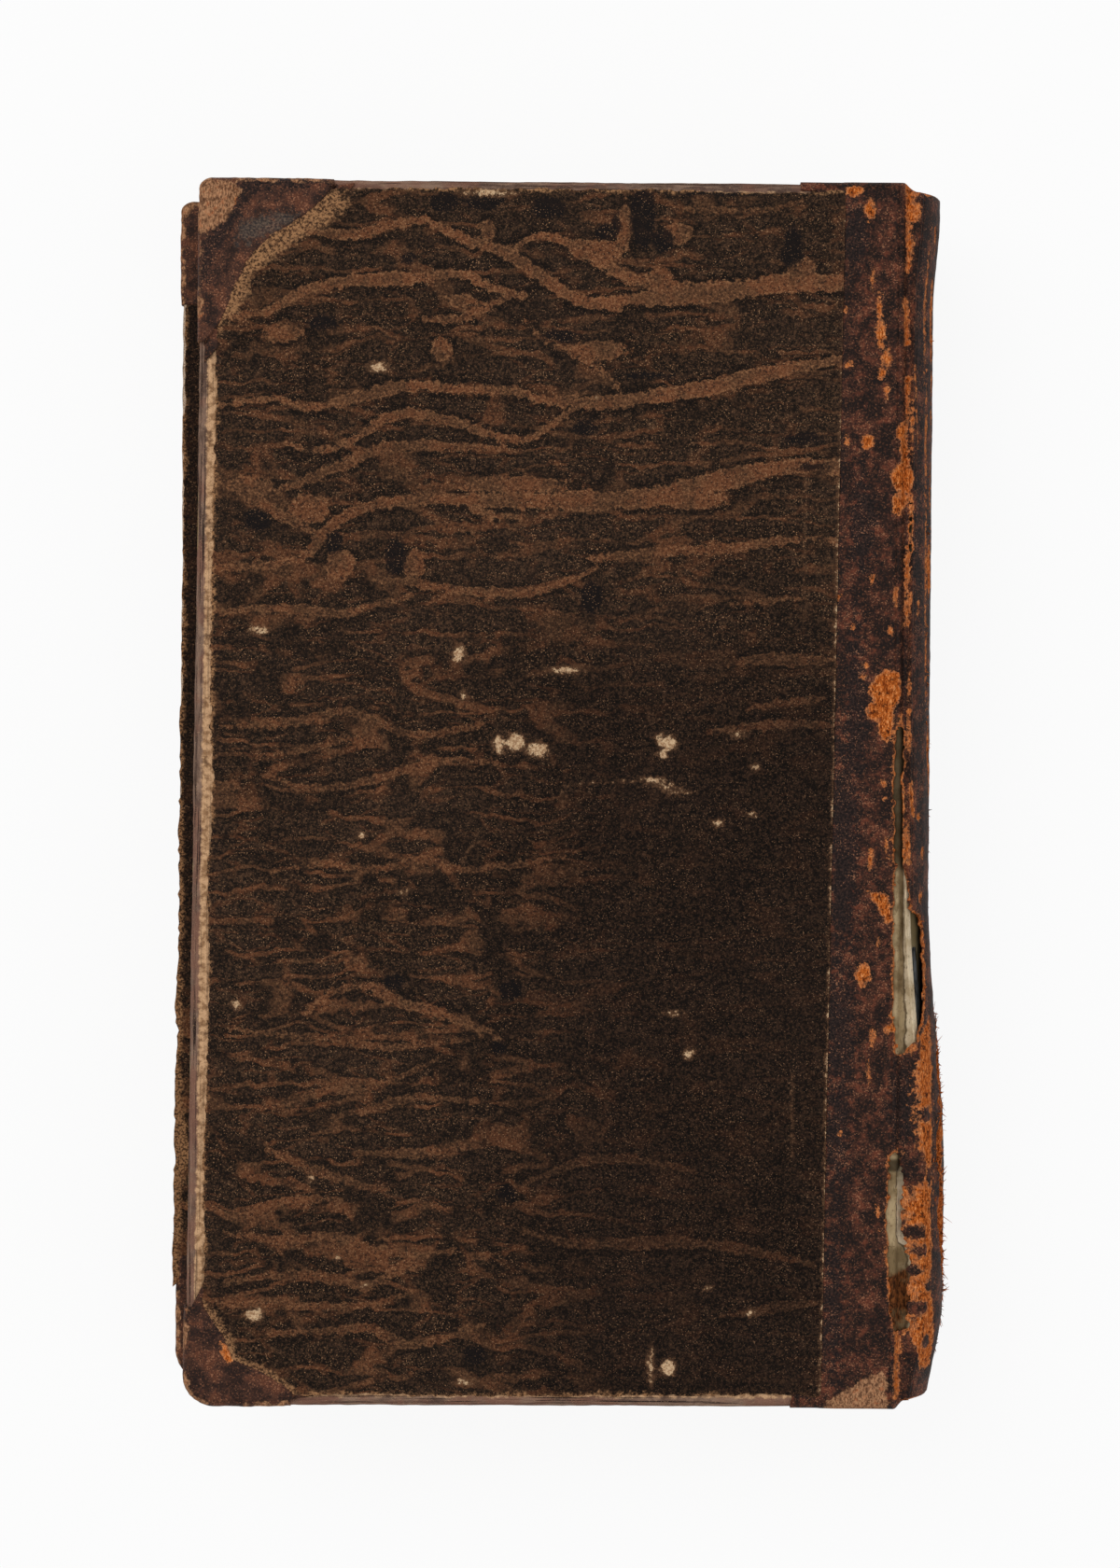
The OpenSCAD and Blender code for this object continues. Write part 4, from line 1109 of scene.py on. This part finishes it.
# Where the skin's flat part ends at head and tail, on the boards and on the spine
BOARD_FLAT, SPINE_FLAT = 94.0, 93.4


def spine_share(s):
    """0 on the boards and 1 on the spine."""
    return smooth((np.minimum(s, SKIN_END - s) - 0.1) / 1.2)


def end_rows(s):
    """How the skin goes on past its outer face at head and tail: round the edge and in, as y and inward steps."""
    share = spine_share(s)
    turns = [math.radians(d) for d in (18, 36, 54, 72, 90)]
    board = ([(BOARD_FLAT + 1.5 * math.sin(t), 1.5 - 1.5 * math.cos(t)) for t in turns] + [(95.5, 2.1), (95.5, 2.7)]
             + [(94.6 + 0.9 * math.cos(t), 2.7 + 0.9 * math.sin(t)) for t in turns[0::2]]
             + [(91, 3.6), (87, 3.6), (83, 3.6)])
    spine = ([(SPINE_FLAT + 0.6 * math.sin(t), 0.6 - 0.6 * math.cos(t)) for t in turns] + [(94.0, 1.2), (94.0, 1.8)]
             + [(93.8, 2.1), (93.6, 2.3), (93.4, 2.4)] + [(93.3, 2.45), (93.2, 2.5), (93.1, 2.55)])
    return [(b[0] + (c[0] - b[0]) * share, b[1] + (c[1] - b[1]) * share) for b, c in zip(board, spine)]


def make_skin(name, s_span, step, field, finish):
    """A stretch of the leather that wraps boards, joints and spine, from one s to another, turned in at its ends."""
    columns = max(2, round((s_span[1] - s_span[0]) / step))
    extra = len(end_rows(np.zeros(1)))
    face_rows = round(2 * BOARD_FLAT / step)
    rows = face_rows + 2 * extra
    held = {}

    def lay(u, v):
        s = s_span[0] + (s_span[1] - s_span[0]) * u
        k = np.rint(v * rows).astype(int)
        ends = end_rows(s)
        y_end = BOARD_FLAT + (SPINE_FLAT - BOARD_FLAT) * spine_share(s)
        y = y_end * (2 * (k - extra) / face_rows - 1)
        inward = np.zeros(s.shape)
        flat = (k >= extra) & (k <= rows - extra)
        f = np.where(flat, field(s, y), 1.0)
        held["kept"] = f >= 0
        drawn_onto(field, s, y, f, step, flat)
        for row, (along, into) in enumerate(ends):
            for sign, index in ((1, rows - extra + 1 + row), (-1, extra - 1 - row)):
                here = k == index
                y = np.where(here, sign * along, y)
                inward = np.where(here, into, inward)
        held["s"], held["y"] = s, y
        under = np.where(s < -strip_w(y), 1.0, 0.0) * smooth((-strip_w(y) - s) / 0.4)
        lip = np.exp(-np.abs(s + strip_w(y)) / 0.4) * 0.16
        mirrored = SKIN_END - s
        under = np.maximum(under, smooth((-strip_w(y) - mirrored) / 0.4))
        lumps = 0.05 * ripple(s, y, 2.2, 81) + 0.03 * ripple(s, y, 0.8, 82) + 0.05 * ripple(s, y, (1.5, 12), 83)
        bare = 0.16 * smooth(-skin_fields(s, y)["suede"] / 0.3)
        ridge = np.exp(-((s - np.interp(y, RIDGE_LINE[::-1, 1], RIDGE_LINE[::-1, 0])) / 1.6) ** 2)
        frayed = ridge * smooth((-14 - y) / 20) * smooth((y + 88) / 6)
        lumps = lumps + frayed * (0.28 * ripple(s, y, (1.2, 1.1), 84) + 0.22 * ripple(s, y, (0.7, 3.5), 85))
        return skin_place(s, y, inward + PARED_T * 1.35 * under + lip - lumps + bare)

    mesh = new_sheet(columns, rows, lay)
    mark(mesh, **skin_fields(held["s"], held["y"]))
    piece = to_piece(name, as_shape(mesh, held["kept"]), finish, sharp=60)
    return thicken(piece, SKIN_T)


def whole(s, y):
    return np.ones(np.shape(s))


def under_paper(s, y):
    """Above 0 on the skin as far as it reaches under the paper."""
    return np.minimum(s, SKIN_END - s) + strip_w(y) + OVERLAP - 0.4


back_strip = make_skin("back_leather_strip", (STRIP_END, JOINT_FROM), 0.4,
                       lambda s, y: np.minimum(tear(s, y), under_paper(s, y)), LEATHER)
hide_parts("back_leather")
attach(back_strip, "back_cover")
back_bend = [((SPINE_EDGE["back"] + s) * MM, 0, BOOK_T * MM) for s in (JOINT_FROM, JOINT_TO)]
back_joint = make_skin("back_joint_leather", (JOINT_FROM, JOINT_TO), 0.3, tear, BENDING_LEATHER)
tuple(back_bend[0])
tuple(back_bend[1])
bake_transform(back_joint)
spine_skin = make_skin("spine_leather_skin", (JOINT_TO, SKIN_END - JOINT_TO), 0.42, tear, LEATHER)
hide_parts("spine_leather")
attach(spine_skin, "book_block")
front_joint = make_skin(
    "front_joint_leather", (SKIN_END - JOINT_TO, SKIN_END - JOINT_FROM), 0.4, whole, BENDING_LEATHER)
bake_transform(front_joint)
front_strip = make_skin(
    "front_leather_strip", (SKIN_END - JOINT_FROM, SKIN_END - STRIP_END), 0.5, under_paper, LEATHER)
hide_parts("front_leather")
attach(front_strip, "front_cover")


# ---------------------------------------------------------------- the lining in the torn joint, and frayed fibres
def make_joint_lining():
    held = {}

    def lay(u, v):
        s = -1.9 + 7.4 * u
        y = 13.0 - 101.0 * v
        held["s"], held["y"] = s, y
        crease = 0.22 * np.exp(-((s - 0.8) / 0.25) ** 2) - 0.2 * np.exp(-((s - 1.4) / 0.4) ** 2)
        sag = 0.3 * smooth((s + 0.4) / 0.8) * (1 - smooth((s - 1.2) / 0.8))
        inward = 0.6 + 0.34 * smooth((s + 0.5) / 2) + crease + sag + 0.06 * ripple(s, y, (1.2, 3), 91)
        inward = inward + 0.5 * smooth((s - 2.9) / 0.6)
        return skin_place(s, y, inward)

    mesh = new_sheet(50, 336, lay)
    s, y = held["s"], held["y"]
    narrow = smooth((y + 16) / 8)
    hole = np.exp(-((y + 57.5) / 1.4) ** 2) * smooth((0.7 - s) / 0.5)
    # painted shade in the joint: strongest in its narrow upper part, along a line at y -57.5 and towards the tail; the
    # stretch from y -71 to -56 is kept out of it and shows pale
    mark(mesh, rest=skin_place(s, y) / MM, across=s + 0.9 * smooth((-56 - y) / 3) * smooth((y + 71) / 3),
         gloom=3.2 * narrow + 3.5 * hole + 1.1 * smooth((-70 - y) / 4) - 1.9, rust=1.8 * smooth((-71 - y) / 4) - 1.2)
    lining = thicken(to_piece("joint_lining", as_shape(mesh), JOINT_LINING), 0.15)
    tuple(back_bend[0])
    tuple(back_bend[1])
    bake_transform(lining)


def make_fibres():
    """Loose fibres along the spine's worn ridge and round the torn openings."""
    rng = np.random.default_rng(7)
    shape = bmesh.new()
    roots = []
    for _ in range(620):
        y = rng.uniform(-88, 72) if rng.random() < 0.35 else rng.uniform(-88, -34)
        middle = np.interp(y, RIDGE_LINE[::-1, 1], RIDGE_LINE[::-1, 0])
        low = y < -34
        roots.append((middle + rng.normal(-0.4, 0.9 if low else 0.4), y,
                      rng.uniform(0.3, 0.8) + (rng.exponential(0.35) if low else 0)))
    for outline in OPENING_OUTLINES[:2]:
        ring = np.vstack([outline, outline[:1]])
        for _ in range(90):
            k = rng.integers(len(outline))
            at = ring[k] + (ring[k + 1] - ring[k]) * rng.random()
            if at[0] > 2.3:
                roots.append((at[0] + rng.normal(0.1, 0.12), at[1], rng.uniform(0.3, 0.9)))
    for s, y, length in roots:
        base, beside, out = (
            skin_place(np.array([a]), np.array([y]), i)[0] for a, i in ((s, 0.1), (s + 0.2, 0.1), (s, 0.0)))
        up = Vector(out - base).normalized()
        side_way = Vector(beside - base).normalized()
        way = up * rng.uniform(0.1, 0.5) + side_way * rng.normal(0, 0.5) + Vector((0, rng.normal(0, 1.0), 0))
        way = way.normalized()
        turn = way.to_track_quat("Z", "Y").to_matrix().to_4x4()
        place = Matrix.Translation(Vector(base) + way * (length * 0.42 * MM)) @ turn
        bmesh.ops.create_cone(
            shape, cap_ends=True, segments=4, radius1=rng.uniform(0.06, 0.16) * MM, radius2=0.015 * MM,
            depth=length * MM, matrix=place)
    mesh = bpy.data.meshes.new("fibres")
    shape.to_mesh(mesh)
    shape.free()
    all_suede = (("suede", -3.0), ("stain", 9.0), ("raw", 9.0))
    mark(mesh, **{name: np.full(len(mesh.vertices), value) for name, value in all_suede})
    to_piece("frayed_fibres", as_shape(mesh), LEATHER, "book_block", sharp=80)


make_joint_lining()
make_fibres()


# ---------------------------------------------------------------- the leather corners
CORNER_MARKS = {
    "raw": [
        [(214, 188), (250, 192), (257, 203), (250, 222), (240, 236), (222, 250), (208, 246)]],
    "stain": [
        [(257, 205), (266, 216), (250, 246), (232, 270), (224, 302), (212, 306), (212, 262), (236, 240), (248, 222)],
        [(256, 186), (352, 182), (352, 196), (300, 200), (262, 204)]],
    "ash": [
        [(258, 238), (298, 228), (318, 230), (300, 246), (274, 256), (254, 262)]],
    "suede": [
        [(247, 197), (256, 203), (252, 222), (245, 216)],
        [(235, 1436), (243, 1441), (250, 1458), (244, 1462), (236, 1448)]]}


def run_along(points, count):
    """Evenly spaced places along a line."""
    p = np.asarray(points, float)
    stops = np.concatenate([[0], np.cumsum(np.hypot(*np.diff(p, axis=0).T))])
    at = np.linspace(0, stops[-1], count)
    return np.stack([np.interp(at, stops, p[:, 0]), np.interp(at, stops, p[:, 1])], -1)


def make_corner(side, end):
    sign = 1 if end == "head" else -1
    patch = corner_patches(side)[end]
    count = 120
    if side == "back":
        line = from_photo(CORNER_LINES[end][:: sign])
    else:
        line = patch[:2]
        line = line[0] + (line[1] - line[0]) * np.array([[0.2], [0.8]])
    ring = board_ring(side, 0.0)
    near_end = ring[:, 1] * sign > 0
    close = np.hypot(ring[:, 0] + 110, ring[:, 1] - sign * 95) < 36
    path = ring[near_end & close]
    order = np.argsort(np.arctan2((path[:, 1] - sign * 60) * sign, path[:, 0] + 70))
    path = path[order]
    top = line[0, 0]
    low = line[-1, 1]
    on_path = (path[:, 0] < top) & (np.abs(path[:, 1]) > abs(low))
    outline = run_along(path[on_path], count)
    tangent = np.gradient(outline, axis=0)
    tangent /= np.hypot(*tangent.T)[:, None]
    out = np.stack([-tangent[:, 1], tangent[:, 0]], -1)
    out *= np.sign(((outline - np.array([-60, 0])) * out).sum(1))[:, None]
    tip = np.array([-110.0, sign * 95.0])
    start = run_along(eased(line, 1), count)
    away = start - tip
    start = start + away / np.hypot(*away.T)[:, None] * 3.2
    window = np.stack([np.maximum(outline[:, 0], WINDOW_X), np.minimum(np.abs(outline[:, 1]), WINDOW_Y) * sign], -1)
    if np.dot(outline[0] - outline[-1], start[0] - start[-1]) < 0:
        start = start[::-1]

    turns = [math.radians(d) for d in (15, 30, 45, 60, 75, 90)]
    rows = [("outer", k / 52, 0.0) for k in range(53)]
    rows += [("edge", 1 - 1.5 * math.sin(t), 1.5 - 1.5 * math.cos(t)) for t in turns]
    rows += [("edge", -0.5, 1.9), ("edge", -0.5, 2.3), ("edge", -0.5, 2.7)]
    rows += [("edge", 0.4 - 0.9 * math.cos(t), 2.7 + 0.9 * math.sin(t)) for t in turns[1::2]]
    rows += [("inner", k / 16, 3.6) for k in range(1, 17)]
    held = {}

    def lay(u, v):
        j, i = np.rint(u * (count - 1)).astype(int), np.rint(v * (len(rows) - 1)).astype(int)
        kind = np.array([{"outer": 0, "edge": 1, "inner": 2}[r[0]] for r in rows])[i]
        t, depth = np.array([r[1] for r in rows])[i], np.array([r[2] for r in rows])[i]
        o, n, a, w = outline[j], out[j], start[j], window[j]
        rim = o - n
        flat = a + (rim - a) * t[:, None]
        edge = o - n * t[:, None]
        seat = o - n * 0.4
        inner = seat + (w - seat) * t[:, None]
        where = np.where((kind == 0)[:, None], flat, np.where((kind == 1)[:, None], edge, inner))
        x, y = where.T
        away = patch_distance(x, y, patch)
        depth = depth + np.where(kind == 0, PARED_T * 1.35 * smooth(away / 0.4), 0)
        wrinkle = 0.05 * ripple(x, y, 1.6, 101) + 0.04 * ripple(x, y, 0.7, 102)
        gather = 0.07 * np.sin(np.arctan2(y - w[:, 1], x - w[:, 0]) * 26) * (kind == 2) * (1 - t)
        held.update(x=x, y=y, kind=kind)
        lift = (wrinkle + gather) * np.where(depth > 2.6, 1, -1)
        pared = wrinkle - 0.1 - 0.12 * (np.exp(-j / 8) + np.exp(-(count - 1 - j) / 8))
        x = x + out[j][:, 0] * (kind == 1) * pared
        y = y + out[j][:, 1] * (kind == 1) * pared
        return on_cover(side, x, y, np.clip(depth + lift, -0.05, 3.74))

    mesh = new_sheet(count - 1, len(rows) - 1, lay)
    x, y = held["x"], held["y"]
    fields = {name: np.full(x.shape, 6.0) for name in CORNER_MARKS}
    if side == "back":
        for name, patches in CORNER_MARKS.items():
            for corners in patches:
                fields[name] = np.minimum(fields[name], patch_distance(x, y, from_photo(corners)))
    outer = held["kind"] < 2
    for name in fields:
        fields[name] = np.where(outer, fields[name], 6.0)
    inset = np.where(outer, np.maximum(board_inset(side, x, y)[0], 0), 3.0)
    fields["raw"] = np.minimum(fields["raw"], inset - 0.2 + 0.7 * ripple(x, y, 3, 103) + 0.4 * ripple(x, y, 0.8, 105))
    fields["raw"] = np.minimum(fields["raw"], np.hypot(x + 110, y - sign * 95) - 1.6 + 1.2 * ripple(x, y, 3, 104))
    mark(mesh, **fields)
    shape = as_shape(mesh)
    shape.normal_update()
    upward = sum(f.normal.z for f in shape.faces if f.index < 40 * (count - 1)) > 0
    piece = to_piece(f"{side}_{end}_leather_corner", shape, CORNER_LEATHER, sharp=60,
                     flip=upward != (side == "back"))
    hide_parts(f"{side}_{end}_corner")
    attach(piece, side + "_cover")
    thicken(piece, 0.3)


for side in ("back", "front"):
    for end in ("head", "tail"):
        make_corner(side, end)


# ---------------------------------------------------------------- what keeps its CAD shape
CARRIED = {
    "text_block": PAGES, "spine_lining": LINING, "spine_tube": LINING, "head_endband": CLOTH, "tail_endband": CLOTH,
    "back_pastedown": END_PAPER, "front_pastedown": END_PAPER}
for name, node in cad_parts.items():
    finish = CARRIED.get(name, HEMP if "cord" in name else None)
    if finish:
        node.data.materials.clear()
        node.data.materials.append(finish)


# ---------------------------------------------------------------- stage, light and camera
FLOOR_DROP = 0.8  # the open lower cover lies face up, level with the table, and shows there


def make_stage():
    shape = bmesh.new()
    bmesh.ops.create_grid(shape, x_segments=1, y_segments=1, size=3)
    mesh = bpy.data.meshes.new("floor")
    shape.to_mesh(mesh)
    shape.free()
    floor = bpy.data.objects.new("floor", mesh)
    bpy.context.scene.collection.objects.link(floor)
    f = Finish("pale_floor")
    plain = f.node("ShaderNodeBsdfDiffuse", {}, {"Color": (0.9, 0.9, 0.9, 1)}, "BSDF")
    glow = f.node("ShaderNodeEmission", {}, {"Color": (1, 1, 1, 1)}, "Emission")
    seen = f.node("ShaderNodeLightPath", output="Is Camera Ray")
    both = f.node("ShaderNodeMixShader", {}, [seen * 0.9, plain, glow], "Shader")
    out = next(n for n in f.tree.nodes if n.type == "OUTPUT_MATERIAL")
    f.tree.links.new(both.socket, out.inputs["Surface"])
    f.tree.nodes.remove(f.shader)
    mesh.materials.append(f.material)
    floor.location.z = -FLOOR_DROP * MM


def soft_light(name, at, size, power):
    lamp = bpy.data.lights.new(name, "AREA")
    lamp.shape, lamp.size, lamp.energy = "SQUARE", size, power
    holder = bpy.data.objects.new(name, lamp)
    holder.location = at
    holder.rotation_euler = (-holder.location).to_track_quat("-Z", "Y").to_euler()
    bpy.context.scene.collection.objects.link(holder)


make_stage()
soft_light("key", (-0.55, 0.5, 1.1), 1.0, 7.5)
soft_light("fill", (0.7, -0.4, 0.9), 1.0, 2.6)
world = bpy.data.worlds.new("studio")
bpy.context.scene.world = world
world.use_nodes = True
world.node_tree.nodes["Background"].inputs["Color"].default_value = (1, 1, 1, 1)
world.node_tree.nodes["Background"].inputs["Strength"].default_value = 0.42

camera_data = bpy.data.cameras.new("camera")
camera_data.sensor_fit = "VERTICAL"
camera_data.sensor_height = 36
camera_data.lens = camera_data.sensor_height * CAMERA_H / (PHOTO_H * MM_PER_PX)
camera_data.clip_start = 0.01
camera = bpy.data.objects.new("camera", camera_data)
camera.location = (PHOTO_MIDDLE[0] * MM, PHOTO_MIDDLE[1] * MM, (BOOK_T + CAMERA_H) * MM)
camera.rotation_euler = (0, 0, PHOTO_TURN)
bpy.context.scene.collection.objects.link(camera)
bpy.context.scene.camera = camera
bpy.context.scene.view_settings.view_transform = "Standard"
